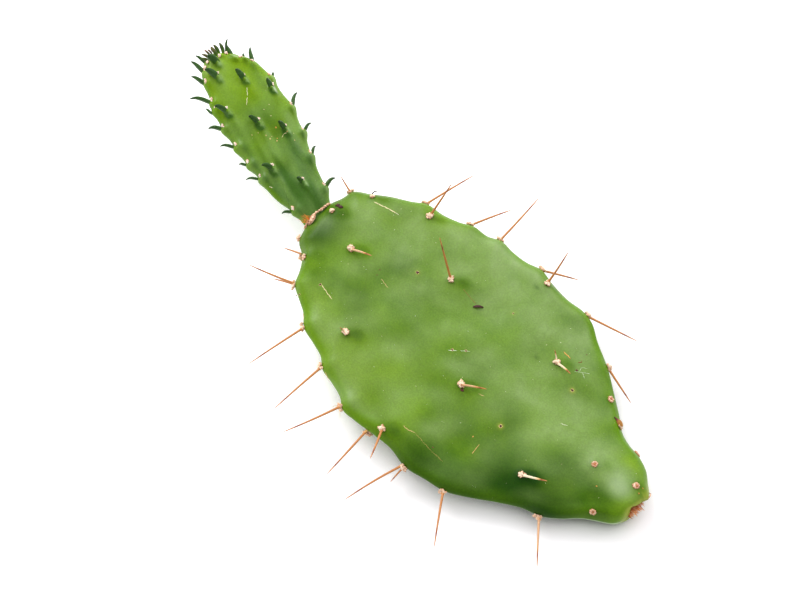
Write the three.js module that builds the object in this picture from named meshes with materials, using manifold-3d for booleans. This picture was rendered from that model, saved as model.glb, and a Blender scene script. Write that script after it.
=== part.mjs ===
// A prickly pear cactus pad as picked: one grown pad with a young pad on its rim, lying on a table.
// Millimetres, +Z up, origin at the bottom centre of the whole plant, +Y from the stem end to the tip.
//
// The pads are shaped in a plant frame: x across the grown pad, y along it from the stem end, z out of
// its upper face. The young pad has a frame of its own on the rim. Both are laid down at the end.

import * as THREE from "three";
import { mergeVertices } from "three/addons/utils/BufferGeometryUtils.js";
import Module from "manifold-3d";

const wasm = await Module();
wasm.setup();

// ---- Driving dimensions ----

const SEAT_GAP = 0.3; // clearance between a piece and what it sits on
const REST_TILT = THREE.MathUtils.degToRad(2); // the tip end stands higher than the stem end

// The grown pad's outline, anticlockwise from the stem end. The corners are where rim areoles sit.
const PAD_OUTLINE = [
  [-1, -9], [7, -3], [10.5, 4], [14.5, 12], [18, 17.5], [19.3, 23], [22, 30], [27, 36],
  [34.5, 46], [42.5, 57], [49.8, 70], [55.6, 79], [57, 85], [56.4, 95], [57.6, 106], [59.6, 116],
  [57.6, 123], [57, 132], [57.6, 140.5], [54.8, 147], [54, 156], [51, 162], [48.2, 171], [47, 181],
  [42.5, 188], [37.5, 197], [31.5, 205.5], [26, 213], [20, 214.2], [13, 216.5], [3, 217.2],
  [-7, 215.6], [-12, 213.4], [-17, 206.5], [-23.5, 202], [-30.5, 198.5], [-34.5, 192], [-38.5, 185],
  [-43.8, 179.5], [-46.8, 170], [-49.5, 162.5], [-53.4, 158], [-55.5, 149.5], [-58.4, 141],
  [-61.8, 136.5], [-62, 128], [-61, 117], [-60.5, 106], [-62.6, 94], [-60.6, 83], [-58.6, 72.5],
  [-53, 62], [-45.5, 50.5], [-39.5, 40], [-36.2, 30.5], [-31, 23.5], [-23.5, 15.8], [-17.5, 6.5],
  [-12.5, -1.5], [-7.5, -7.5],
];
const PAD = {
  outline: PAD_OUTLINE,
  centre: [-3, 112],
  belly: 6.6, // half thickness of the face
  neck: 2.2, // half thickness added at the stem end
  neckY: 8,
  neckSpan: 46,
  rim: 20, // width of the rounding from the outline to the full thickness
  rings: [0.986, 0.955, 0.9, 0.81, 0.64, 0.36],
};

// The young pad's outline in its own frame, y along it from the junction.
const YOUNG_OUTLINE = [
  [8, -4], [9.6, 2], [10.9, 7], [12.3, 13], [12.8, 19], [13.6, 26], [14.7, 32], [15.7, 38],
  [17.1, 43], [17.3, 48], [18.1, 54], [19.6, 60], [18.2, 66], [17.6, 73], [17, 80], [15.3, 84.5],
  [14, 89], [12.5, 93.5], [9.6, 97], [6.5, 100.5], [1.5, 103.4], [-4, 103], [-9.5, 99.5],
  [-13.8, 95], [-16.2, 90], [-17.4, 85], [-19.4, 81], [-19.3, 76], [-20, 70], [-21.1, 65],
  [-19.6, 59], [-18.2, 53], [-17.6, 46], [-16.6, 40], [-15.4, 34], [-14.7, 27], [-13.8, 21],
  [-12.3, 16], [-9.4, 10], [-7.4, 4], [-6.6, -2], [0, -6],
];
const YOUNG = {
  outline: YOUNG_OUTLINE,
  centre: [-0.5, 55],
  belly: 4.6,
  neck: 0.6,
  neckY: 0,
  neckSpan: 20,
  rim: 11,
  rings: [0.98, 0.92, 0.82, 0.66, 0.4],
};
const JUNCTION = [3, 216, 0]; // the young pad's origin in the plant frame
const YOUNG_TURN = THREE.MathUtils.degToRad(17); // the young pad leans this far to +x
const YOUNG_RISE = THREE.MathUtils.degToRad(7); // and stands up by this much

// Corky ends of the grown pad: the scar where it broke off its plant, and the ridge that the young
// pad grew out of. Each is placed by the middle of its outer face, and stands out of a flat end.
const STEM_SCAR = { face: [-1.3, 1, 0], width: 19, height: 13.5, stand: 1.6, root: 1 };
const STEM_TURN = THREE.MathUtils.degToRad(9.5); // the stem end faces this far to +x of straight down
const JOINT_SCAR = { face: [5, 216.1, 0.3], width: 19, height: 6.2, stand: 1.7, root: 1 };

// Areole cushions of the grown pad, in plant frame x and y. Side 1 is the upper face, -1 the lower face
// and 0 the rim. Each spine is a vector from the cushion to the tip, as [across, along, out].
const TOP = 1;
const UNDER = -1;
const RIM = 0;
const AREOLES = [
  { id: "top_tip_left", side: TOP, x: -18.6, y: 203.6 },
  { id: "top_tip", side: TOP, x: 0.2, y: 189.5, spines: [[-0.6, -14, 13.5]] },
  { id: "top_junction", side: TOP, x: 9.2, y: 210.8 },
  { id: "top_tip_right", side: TOP, x: 30, y: 203.5 },
  { id: "top_shoulder", side: TOP, x: 40.6, y: 174, spines: [[14, -0.8, 16]] },
  { id: "top_left", side: TOP, x: -34.1, y: 160.4, spines: [[-1.3, 2.4, 4.6]] },
  { id: "top_middle", side: TOP, x: 22, y: 142.5, spines: [[4.4, 12.6, 21.5]] },
  { id: "top_right", side: TOP, x: 53.8, y: 107.4, spines: [[13.4, 0.4, 14.5]] },
  { id: "top_lower_left", side: TOP, x: -57.2, y: 114.3, spines: [[-15.6, -7.4, 6]] },
  { id: "top_centre", side: TOP, x: -15.2, y: 101.6, spines: [[1.2, -13.6, 15]] },
  { id: "top_lower_right", side: TOP, x: 25.2, y: 75.6, spines: [[-5.2, -11, 13.5], [2.4, 4.2, 3.4]] },
  { id: "top_lower_middle", side: TOP, x: -29.8, y: 49.8, spines: [[2.2, -12.6, 13]] },
  { id: "top_edge_right", side: TOP, x: 29.6, y: 44.6 },
  { id: "top_bud_right", side: TOP, x: 22.6, y: 33 },
  { id: "top_neck", side: TOP, x: -2, y: 29.4 },
  { id: "top_stem_left", side: TOP, x: -19.4, y: 13.6 },
  { id: "top_stem_right", side: TOP, x: 4.4, y: 8.6 },
  { id: "rim_top", side: RIM, x: 26, y: 213.6, spines: [[0.8, 7.2, 4]] },
  { id: "rim_right_1", side: RIM, x: 47.4, y: 183, spines: [[26.4, -8, 2]] },
  { id: "rim_right_2", side: RIM, x: 54.4, y: 158.2, spines: [[19, -9.8, 0]] },
  { id: "rim_right_3", side: RIM, x: 58, y: 141.4, spines: [[26.6, -0.6, 6]] },
  { id: "rim_right_4", side: RIM, x: 60, y: 116, spines: [[8.4, -15.6, -3.6]] },
  { id: "rim_right_5", side: RIM, x: 57.4, y: 82.6, spines: [[4, -26, 3]] },
  { id: "rim_right_6", side: RIM, x: 43.4, y: 57.8, spines: [[-6, -18.4, -3.4]] },
  { id: "rim_stem_right", side: RIM, x: 18.4, y: 18 },
  { id: "rim_tip_left_1", side: RIM, x: -10.4, y: 214.6 },
  { id: "rim_tip_left_2", side: RIM, x: -16.6, y: 207.6, spines: [[-1.4, 9, -3.2]] },
  { id: "rim_left_1", side: RIM, x: -31, y: 198.8, spines: [[-8.2, 20.4, 6], [-2.4, 10.4, -4.4]] },
  { id: "rim_left_2", side: RIM, x: -44.4, y: 180, spines: [[-31.6, 3.6, 4]] },
  { id: "rim_left_3", side: RIM, x: -53.2, y: 159.4, spines: [[-31, -1, 5]] },
  { id: "rim_left_4", side: RIM, x: -61.2, y: 138, spines: [[-28, 8.6, 5]] },
  { id: "rim_left_5", side: RIM, x: -61.4, y: 120, spines: [[-27, -0.6, -1]] },
  { id: "rim_left_6", side: RIM, x: -63, y: 94.6, spines: [[-30.2, 8.4, 2], [-7, 0.4, -5]] },
  { id: "rim_left_7", side: RIM, x: -59.4, y: 73.4, spines: [[-22, -15.8, 3]] },
  { id: "rim_left_8", side: RIM, x: -37.4, y: 31.4, spines: [[-18.6, -16, 4]] },
  { id: "under_tip", side: UNDER, x: 4, y: 196 },
  { id: "under_tip_left", side: UNDER, x: -28, y: 172, props: [[-7, 12]] },
  { id: "under_tip_right", side: UNDER, x: 30, y: 168, props: [[8, 11]] },
  { id: "under_middle", side: UNDER, x: 0, y: 140 },
  { id: "under_left", side: UNDER, x: -40, y: 112, props: [[-9, -9]] },
  { id: "under_right", side: UNDER, x: 38, y: 104, props: [[10, -8]] },
  { id: "under_centre", side: UNDER, x: -2, y: 84 },
  { id: "under_lower_left", side: UNDER, x: -34, y: 60 },
  { id: "under_lower_right", side: UNDER, x: 24, y: 52 },
  { id: "under_neck", side: UNDER, x: -8, y: 34 },
];
const CUSHION = { wide: 2.1, high: 1.3, segments: [7, 4] };
const SPINE = { foot: 0.5, waist: 0.38, tip: 0.09, sides: 6, spread: 1 };

// Leaves of the young pad in its own frame. Each has a raised base on the pad, drawn out towards the
// stem end, and a felt cushion above it. The leaf is a vector from its foot to its tip.
const LEAVES = [
  { id: "left_1", side: RIM, x: -7.4, y: 10.4, leaf: [-3.9, 1.7, 1] },
  { id: "left_2", side: RIM, x: -15.2, y: 32.7, leaf: [-4.9, 2.5, 1] },
  { id: "left_3", side: RIM, x: -17.8, y: 53.2, leaf: [-5, 3.5, 1.4] },
  { id: "left_4", side: RIM, x: -20.6, y: 63.8, leaf: [-4.8, 3, 1] },
  { id: "left_5", side: RIM, x: -18.8, y: 79.4, leaf: [-6, 6.4, 1.4] },
  { id: "left_6", side: RIM, x: -16.6, y: 90.4, leaf: [-5, 4, 1.4] },
  { id: "left_7", side: RIM, x: -12.8, y: 96.4, leaf: [-2.4, 6.6, 1.2] },
  { id: "right_1", side: RIM, x: 12.4, y: 13.6, leaf: [5, 1.6, 1] },
  { id: "right_2", side: RIM, x: 13.8, y: 32, leaf: [2.4, 3.2, 1.2] },
  { id: "right_3", side: RIM, x: 17.2, y: 45.2, leaf: [3.8, 2, 1] },
  { id: "right_4", side: RIM, x: 19, y: 59, leaf: [4.2, 5.2, 1] },
  { id: "right_5", side: RIM, x: 12.6, y: 92, leaf: [2.8, 7, 1] },
  { id: "right_6", side: RIM, x: 5.4, y: 100.4, leaf: [0, 6.2, 1.4] },
  { id: "crown_1", side: RIM, x: 1.6, y: 102.6, leaf: [0, 5.4, 1] },
  { id: "crown_2", side: RIM, x: -8.7, y: 100.2, leaf: [-2, 4.8, 1.4] },
  { id: "face_1", side: TOP, x: 2.3, y: 19.3, leaf: [-2.6, 2.2, 3.6] },
  { id: "face_2", side: TOP, x: -7.5, y: 32.9, leaf: [-5, 2.5, 3.6] },
  { id: "face_3", side: TOP, x: 8.3, y: 48.5, leaf: [-2.3, 3.7, 3.8] },
  { id: "face_4", side: TOP, x: -2, y: 57.8, leaf: [-3.9, 3.6, 3.8] },
  { id: "face_5", side: TOP, x: 13, y: 71.6, leaf: [-1.3, 4.3, 3.6] },
  { id: "face_6", side: TOP, x: -13, y: 70.6, leaf: [-5, 3.7, 3.8] },
  { id: "face_7", side: TOP, x: 3.4, y: 81.7, leaf: [-2.7, 5.2, 3.8] },
  { id: "face_8", side: TOP, x: -7.4, y: 87.4, leaf: [-5.4, 6.4, 3.6] },
  { id: "face_9", side: TOP, x: -4.1, y: 95, leaf: [-4.1, 4.6, 3.4] },
];
// Leaf bases on the underside and at the crown, whose leaves are too small to be pieces.
const BARE_BASES = [
  { side: RIM, x: 17, y: 79.6 }, { side: RIM, x: 10, y: 96 }, { side: RIM, x: -16.6, y: 43 },
  { side: UNDER, x: 0, y: 14 }, { side: UNDER, x: -6, y: 30 }, { side: UNDER, x: 7, y: 38 },
  { side: UNDER, x: -9, y: 52 }, { side: UNDER, x: 6, y: 60 }, { side: UNDER, x: -10, y: 74 },
  { side: UNDER, x: 8, y: 80 }, { side: UNDER, x: -2, y: 90 },
];
const LEAF_BASE = { wide: 2.2, long: 4, high: 1.9, back: 1, sunk: 0.6, segments: [6, 4] };
const LEAF = { foot: 1.1, belly: 1.45, tip: 0.14, curl: 0.16, sides: 6 };

// ---- Materials ----

const material = (color, roughness) =>
  new THREE.MeshStandardMaterial({ color, roughness, metalness: 0 });
const PAD_SKIN = material(0x5d8f35, 0.45);
const YOUNG_SKIN = material(0x6b9f2c, 0.38);
const SPINE_HORN = material(0xc07a3c, 0.4);
const LEAF_GREEN = material(0x2f5f33, 0.45);

// ---- Solids ----

// A closed three.js geometry as a manifold solid.
function solidOf(geometry) {
  const bare = geometry.clone();
  bare.deleteAttribute("normal");
  bare.deleteAttribute("uv");
  const merged = mergeVertices(bare, 1e-4);
  return new wasm.Manifold(
    new wasm.Mesh({
      numProp: 3,
      vertProperties: merged.attributes.position.array,
      triVerts: new Uint32Array(merged.index.array),
    }),
  );
}

// A manifold solid as a named mesh.
function meshOf(solid, name, look) {
  const { numProp, vertProperties, triVerts } = solid.getMesh();
  const positions = new Float32Array((vertProperties.length / numProp) * 3);
  for (let i = 0; i < positions.length / 3; i++) {
    positions.set(vertProperties.subarray(i * numProp, i * numProp + 3), i * 3);
  }
  const geometry = new THREE.BufferGeometry()
    .setAttribute("position", new THREE.BufferAttribute(positions, 3))
    .setIndex(new THREE.BufferAttribute(triVerts, 1));
  geometry.computeVertexNormals();
  const mesh = new THREE.Mesh(geometry, look);
  mesh.name = name;
  return mesh;
}

// A smooth closed line through the outline's points, as a fine polyline to measure from.
function smoothLine(points) {
  const curve = new THREE.CatmullRomCurve3(
    points.map(([x, y]) => new THREE.Vector3(x, y, 0)),
    true,
    "centripetal",
  );
  return curve.getSpacedPoints(360).map((p) => new THREE.Vector2(p.x, p.y));
}

// Distance from a point inside the outline to the outline.
function inset(line, x, y) {
  let least = Infinity;
  for (let i = 0; i < line.length - 1; i++) {
    const a = line[i];
    const b = line[i + 1];
    const [ux, uy] = [b.x - a.x, b.y - a.y];
    const share = ((x - a.x) * ux + (y - a.y) * uy) / (ux * ux + uy * uy || 1);
    const t = THREE.MathUtils.clamp(share, 0, 1);
    least = Math.min(least, Math.hypot(x - a.x - t * ux, y - a.y - t * uy));
  }
  return least;
}

// Half the thickness of a pad at a point: full inside, rounding to nothing at the outline.
function halfThickness(shape, line, x, y) {
  const bulge = shape.neck * Math.exp(-(((y - shape.neckY) / shape.neckSpan) ** 2));
  const toFlat = 1 - Math.min(inset(line, x, y) / shape.rim, 1);
  return (shape.belly + bulge) * Math.sqrt(1 - toFlat ** 2.4);
}

// A pad: rings of points that shrink from the outline to the centre, on both faces.
function padSolid(shape, line) {
  const [cx, cy] = shape.centre;
  const positions = [];
  const index = [];
  const put = (x, y, z) => positions.push(x, y, z) / 3 - 1;
  const rim = shape.outline.map(([x, y]) => put(x, y, 0));
  for (const face of [1, -1]) {
    let outer = rim;
    const join = (a, b, c) => index.push(...(face > 0 ? [a, b, c] : [a, c, b]));
    for (const share of shape.rings) {
      const inner = shape.outline.map((p) => {
        const [x, y] = [cx + (p[0] - cx) * share, cy + (p[1] - cy) * share];
        return put(x, y, face * halfThickness(shape, line, x, y));
      });
      outer.forEach((a, i) => {
        const next = (i + 1) % outer.length;
        join(a, outer[next], inner[next]);
        join(a, inner[next], inner[i]);
      });
      outer = inner;
    }
    const middle = put(cx, cy, face * halfThickness(shape, line, cx, cy));
    outer.forEach((a, i) => join(a, outer[(i + 1) % outer.length], middle));
  }
  const geometry = new THREE.BufferGeometry()
    .setAttribute("position", new THREE.Float32BufferAttribute(positions, 3))
    .setIndex(index);
  return solidOf(geometry);
}

// The point on a pad's skin where an areole sits, and the way out of the skin there.
function seatOn(shape, line, { side, x, y }) {
  if (side === RIM) {
    const away = line.map((p) => Math.hypot(p.x - x, p.y - y));
    const nearest = away.indexOf(Math.min(...away));
    const [before, after] = [line.at(nearest - 4), line[(nearest + 4) % line.length]];
    const out = new THREE.Vector3(after.y - before.y, before.x - after.x, 0).normalize();
    return { at: new THREE.Vector3(line[nearest].x, line[nearest].y, 0), out };
  }
  const z = (px, py) => side * halfThickness(shape, line, px, py);
  const step = 0.5;
  const slopeX = (z(x + step, y) - z(x - step, y)) / (2 * step);
  const slopeY = (z(x, y + step) - z(x, y - step)) / (2 * step);
  const out = new THREE.Vector3(-slopeX, -slopeY, 1).multiplyScalar(side).normalize();
  return { at: new THREE.Vector3(x, y, z(x, y)), out };
}

// A flattened ball on the skin: its poles lie along out, and its long side along the pad.
function lump(seat, wide, long, high, segments) {
  const along = new THREE.Vector3(0, 1, 0).projectOnPlane(seat.out);
  if (along.length() < 0.2) along.set(0, 0, 1).projectOnPlane(seat.out);
  const frame = new THREE.Matrix4().makeBasis(
    new THREE.Vector3().crossVectors(along.normalize(), seat.out),
    along,
    seat.out,
  );
  const ball = new THREE.SphereGeometry(1, ...segments)
    .scale(wide, long, high)
    .applyMatrix4(frame)
    .translate(...seat.at);
  return solidOf(ball);
}

// A tapered horn from a foot to a tip. Its first ring lies flat on the skin, and the rest stand
// across its own line, which bows sideways between the two ends.
function horn(seat, vector, radii, sides, bow) {
  const positions = [];
  const index = [];
  const put = (p) => positions.push(p.x, p.y, p.z) / 3 - 1;
  const axis = vector.clone().normalize();
  const centreAt = (t) =>
    seat.at.clone().addScaledVector(vector, t).addScaledVector(bow, Math.sin(Math.PI * t));
  const rows = radii.map((radius, k) => {
    const normal = k === 0 ? seat.out : axis;
    const across = new THREE.Vector3().crossVectors(seat.out, axis);
    if (across.length() < 0.1) across.set(0, 0, 1).cross(axis);
    if (across.length() < 0.1) across.set(1, 0, 0).cross(axis);
    across.projectOnPlane(normal).normalize();
    const beside = new THREE.Vector3().crossVectors(normal, across);
    return Array.from({ length: sides }, (_, i) => {
      const angle = (2 * Math.PI * i) / sides;
      const centre = centreAt(k / (radii.length - 1));
      centre.addScaledVector(across, radius * Math.cos(angle));
      return put(centre.addScaledVector(beside, radius * Math.sin(angle)));
    });
  });
  rows.slice(1).forEach((upper, k) => {
    rows[k].forEach((a, i) => {
      const next = (i + 1) % sides;
      index.push(a, rows[k][next], upper[next], a, upper[next], upper[i]);
    });
  });
  const footMiddle = put(centreAt(0));
  const tipMiddle = put(centreAt(1));
  rows[0].forEach((a, i) => index.push(a, footMiddle, rows[0][(i + 1) % sides]));
  rows.at(-1).forEach((a, i) => index.push(a, rows.at(-1)[(i + 1) % sides], tipMiddle));
  return solidOf(
    new THREE.BufferGeometry()
      .setAttribute("position", new THREE.Float32BufferAttribute(positions, 3))
      .setIndex(index),
  );
}

// A block with one face through a point, that takes away everything on the side that outward points to.
function halfSpace(point, outward) {
  const side = 80;
  const block = new THREE.BoxGeometry(side, side, side).translate(0, 0, side / 2);
  const turn = new THREE.Quaternion().setFromUnitVectors(new THREE.Vector3(0, 0, 1), outward);
  return solidOf(block.applyQuaternion(turn).translate(...point));
}

// A round plate of cork, flattened to an ellipse. Its outer face looks along outward, which lies in
// the x-y plane, and it reaches past the pad's flat end to its root.
function corkPlate({ face, width, height, stand, root }, outward) {
  const thick = stand + root;
  const plate = new THREE.CylinderGeometry(0.5, 0.5, thick, 24)
    .scale(width, 1, height)
    .translate(0, -thick / 2, 0);
  const turn = new THREE.Quaternion().setFromUnitVectors(new THREE.Vector3(0, 1, 0), outward);
  return solidOf(plate.applyQuaternion(turn).translate(...face));
}

// ---- The grown pad ----

const stemOut = new THREE.Vector3(Math.sin(STEM_TURN), -Math.cos(STEM_TURN), 0);
const tipOut = new THREE.Vector3(0, 1, 0);
const beyond = ({ face }, outward, by) => new THREE.Vector3(...face).addScaledVector(outward, by);

const padLine = smoothLine(PAD.outline);

function grownPad() {
  const cushions = AREOLES.map((areole) => {
    const { wide, high, segments } = CUSHION;
    return lump(seatOn(PAD, padLine, areole), wide, wide, high, segments);
  });
  const stemCut = halfSpace(beyond(STEM_SCAR, stemOut, -STEM_SCAR.stand), stemOut);
  const tipCut = halfSpace(beyond(JOINT_SCAR, tipOut, -JOINT_SCAR.stand), tipOut);
  const trimmed = padSolid(PAD, padLine).subtract(stemCut).subtract(tipCut.intersect(jointRoom()));
  const scars = [corkPlate(STEM_SCAR, stemOut), corkPlate(JOINT_SCAR, tipOut)];
  return [...cushions, ...scars].reduce((whole, piece) => whole.add(piece), trimmed);
}

// The stretch of the grown pad's rim that is cut flat under the ridge.
function jointRoom() {
  const [x, y, z] = JOINT_SCAR.face;
  return solidOf(new THREE.BoxGeometry(JOINT_SCAR.width + 6, 12, 20).translate(x, y, z));
}

// The plant lies on its stem end: this is how far the floor is below the plant frame's origin.
const up = new THREE.Vector3(0, Math.sin(REST_TILT), Math.cos(REST_TILT));
const padMesh = meshOf(grownPad(), "pad", PAD_SKIN);
const lowest = (geometry) => {
  const p = geometry.attributes.position;
  let least = Infinity;
  for (let i = 0; i < p.count; i++) {
    least = Math.min(least, new THREE.Vector3().fromBufferAttribute(p, i).dot(up));
  }
  return least;
};
const floorDrop = -lowest(padMesh.geometry);
const floorAt = (y) => -(floorDrop + y * Math.sin(REST_TILT)) / Math.cos(REST_TILT);

function spineMeshes(areole) {
  const skin = seatOn(PAD, padLine, areole);
  const top = skin.at.clone().addScaledVector(skin.out, CUSHION.high + SEAT_GAP);
  const vectors = (areole.spines || []).map((v) => new THREE.Vector3(...v));
  for (const [dx, dy] of areole.props || []) {
    vectors.push(new THREE.Vector3(dx, dy, floorAt(top.y + dy) + SPINE.tip - top.z));
  }
  const straight = new THREE.Vector3();
  const radii = [SPINE.foot, SPINE.waist, SPINE.tip];
  return vectors.map((vector, i) => {
    const lean = vector.clone().projectOnPlane(skin.out).setLength(SPINE.spread);
    const seat = { at: top.clone().add(lean), out: skin.out };
    const solid = horn(seat, vector.sub(lean), radii, SPINE.sides, straight);
    const letter = vectors.length > 1 ? "ab"[i] : "";
    return meshOf(solid, `spine_${areole.id}${letter}`, SPINE_HORN);
  });
}

const plant = new THREE.Group();
plant.add(padMesh);
for (const areole of AREOLES) {
  const spines = spineMeshes(areole);
  if (spines.length) plant.add(...spines);
}

// ---- The young pad ----

const young = new THREE.Group();
young.position.set(...JUNCTION);
young.rotation.set(YOUNG_RISE, 0, -YOUNG_TURN, "ZXY");
young.updateMatrix();
const intoYoung = young.matrix.clone().invert();

const youngLine = smoothLine(YOUNG.outline);
const baseSeat = ({ side, x, y }) => {
  const seat = seatOn(YOUNG, youngLine, { side, x, y: y - LEAF_BASE.back });
  seat.at.addScaledVector(seat.out, side === RIM ? -LEAF_BASE.sunk : 0);
  return seat;
};

function youngPad() {
  const { wide, long, high, segments } = LEAF_BASE;
  const bases = [...LEAVES, ...BARE_BASES].map((place) =>
    lump(baseSeat(place), wide, long, high, segments),
  );
  const cutAt = beyond(JOINT_SCAR, tipOut, SEAT_GAP).applyMatrix4(intoYoung);
  const cutOut = tipOut.clone().negate().transformDirection(intoYoung);
  const whole = bases.reduce((sum, base) => sum.add(base), padSolid(YOUNG, youngLine));
  return whole.subtract(halfSpace(cutAt, cutOut));
}
young.add(meshOf(youngPad(), "young_pad", YOUNG_SKIN));

for (const place of LEAVES) {
  const seat = baseSeat(place);
  seat.at.addScaledVector(seat.out, LEAF_BASE.high + SEAT_GAP);
  const vector = new THREE.Vector3(...place.leaf);
  const bow = new THREE.Vector3(0, 1, 0)
    .projectOnPlane(vector.clone().normalize())
    .multiplyScalar(LEAF.curl * vector.length());
  const radii = [LEAF.foot, LEAF.belly, LEAF.belly * 0.72, LEAF.tip];
  young.add(meshOf(horn(seat, vector, radii, LEAF.sides, bow), `leaf_${place.id}`, LEAF_GREEN));
}
plant.add(young);

// ---- Laid down, with the origin at the bottom centre ----

plant.rotation.x = REST_TILT;
const root = new THREE.Group();
root.add(plant);
root.updateMatrixWorld(true);
const box = new THREE.Box3().setFromObject(root, true);
plant.position.set(-(box.min.x + box.max.x) / 2, -(box.min.y + box.max.y) / 2, -box.min.z);

export default root;
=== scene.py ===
import math

import bmesh
import bpy
import numpy as np
from bpy.props import FloatProperty, FloatVectorProperty, IntProperty, PointerProperty
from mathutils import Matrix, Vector


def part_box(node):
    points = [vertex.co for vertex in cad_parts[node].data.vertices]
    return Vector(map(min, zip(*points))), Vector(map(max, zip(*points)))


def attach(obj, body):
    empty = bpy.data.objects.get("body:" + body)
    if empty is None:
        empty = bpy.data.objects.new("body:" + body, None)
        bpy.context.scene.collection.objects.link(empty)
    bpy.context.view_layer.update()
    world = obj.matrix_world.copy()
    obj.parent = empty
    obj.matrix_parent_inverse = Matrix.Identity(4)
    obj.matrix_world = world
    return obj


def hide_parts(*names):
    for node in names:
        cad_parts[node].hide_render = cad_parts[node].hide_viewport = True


bl_info = {
    "name": "Prickly Pear Pad",
    "version": (1, 0, 0),
    "blender": (4, 5, 0),
    "location": "View3D > Sidebar > Prickly Pear",
    "description": "Grows the fine surface of a prickly pear pad around its packed solids",
    "category": "Add Mesh",
}

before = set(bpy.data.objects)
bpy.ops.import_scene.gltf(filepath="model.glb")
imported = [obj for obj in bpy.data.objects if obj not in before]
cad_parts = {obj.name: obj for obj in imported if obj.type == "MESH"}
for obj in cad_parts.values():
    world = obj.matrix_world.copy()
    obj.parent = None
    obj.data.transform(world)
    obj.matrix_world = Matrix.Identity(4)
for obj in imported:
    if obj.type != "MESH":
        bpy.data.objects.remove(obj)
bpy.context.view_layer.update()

# ---- Where the plant lies ----
# Lengths are in millimetres in the plant's own frame: x across the grown pad, y from its stem end to
# its tip, z out of its upper face. The young pad has a frame of its own on the grown pad's rim.

MM = 0.001
PLANT_AT = np.array([4.473, -159.343, 8.271])  # the plant frame's origin in the row frame
REST_TILT = math.radians(2)
YOUNG_AT = np.array([3.0, 216.0, 0.0])
YOUNG_TURN = math.radians(17)
YOUNG_RISE = math.radians(7)
SKIN_CLEAR = 0.05  # how far the skin stays above the surface it lies on
PLACE_OFF = 2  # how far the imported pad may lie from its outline

TOP, RIM, UNDER = 1, 0, -1
UP = np.array([0.0, 0.0, 1.0])
# Seeds for what grows at random.
SPINE_SEED, FELT_SEED, SEAM_SEED, FIBRE_SEED, MARK_SEED = 5, 7, 17, 23, 41


def turned(points, first, second, angle):
    """The points with two of their axes turned by an angle."""
    out = np.array(points, float).reshape(-1, 3)
    a, b = out[:, first].copy(), out[:, second].copy()
    out[:, first] = a * math.cos(angle) - b * math.sin(angle)
    out[:, second] = a * math.sin(angle) + b * math.cos(angle)
    return out


def from_young(points):
    """Young pad frame to plant frame."""
    return turned(turned(points, 1, 2, YOUNG_RISE), 0, 1, -YOUNG_TURN) + YOUNG_AT


def laid_down(points):
    """Plant frame, in millimetres, to row frame, in metres."""
    return (turned(points, 1, 2, REST_TILT) + PLANT_AT) * MM


def laid_down_young(points):
    """Young pad frame, in millimetres, to row frame, in metres."""
    return laid_down(from_young(points))


def floor_under(x, y):
    """Plant frame z of the surface that the plant lies on."""
    return -(PLANT_AT[2] + y * math.sin(REST_TILT)) / math.cos(REST_TILT)


def laid_resting(points):
    """As laid_down, with what would sink into the surface under the plant pressed flat on it."""
    low = floor_under(points[:, 0], points[:, 1]) + SKIN_CLEAR
    return laid_down(np.column_stack([points[:, :2], np.maximum(points[:, 2], low)]))


# ---- The plant's layout ----

PAD_OUTLINE = (
    (-1, -9), (6.4, -3.4), (10.4, 3.4), (15.4, 9.6), (18.2, 16.5), (19.3, 23), (22, 30), (27, 36),
    (34.5, 46), (42.5, 57), (49.8, 70), (55.6, 79), (57, 85), (56.4, 95), (57.6, 106), (59.6, 116),
    (57.6, 123), (57, 132), (57.6, 140.5), (54.8, 147), (54, 156), (51, 162), (48.2, 171),
    (47, 181), (42.5, 188), (37.5, 197), (31.5, 205.5), (26, 213), (20, 214.2), (13, 216.5),
    (3, 217.2), (-7, 215.6), (-12, 213.4), (-17, 206.5), (-23.5, 202), (-30.5, 198.5),
    (-34.5, 192), (-38.5, 185), (-43.8, 179.5), (-46.8, 170), (-49.5, 162.5), (-53.4, 158),
    (-55.5, 149.5), (-58.4, 141), (-61.8, 136.5), (-62, 128), (-61, 117), (-60.5, 106),
    (-62.6, 94), (-60.6, 83), (-58.6, 72.5), (-53, 62), (-45.5, 50.5), (-39.5, 40), (-36.2, 30.5),
    (-31, 23.5), (-23.5, 15.8), (-17.5, 6.5), (-12.5, -1.5), (-7.5, -7.5),
)
YOUNG_OUTLINE = (
    (8, -4), (9.6, 2), (10.9, 7), (12.3, 13), (12.8, 19), (13.6, 26), (14.7, 32), (15.7, 38),
    (17.1, 43), (17.3, 48), (18, 54), (18.6, 60), (17.6, 66), (17, 72), (16.8, 78), (15.8, 82),
    (14, 86), (12.2, 89.4), (10, 92.6), (7.4, 94.8), (4.6, 96.8), (2, 99.6), (-1, 101.8), (-4, 102.6),
    (-7.4, 101.2), (-10.2, 98.6), (-12.8, 95.4), (-14.6, 91.6), (-15.6, 87), (-16.6, 82), (-17.4, 77),
    (-18, 71), (-18.8, 65.6), (-18.4, 59.6), (-18, 53), (-17.4, 46), (-16.6, 40), (-15.4, 34),
    (-14.7, 27), (-13.8, 21), (-12.3, 16), (-9.4, 10), (-7.4, 4), (-6.6, -2), (0, -6),
)
PAD_CENTRE, YOUNG_CENTRE = (-3, 112), (-0.5, 55)

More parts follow.
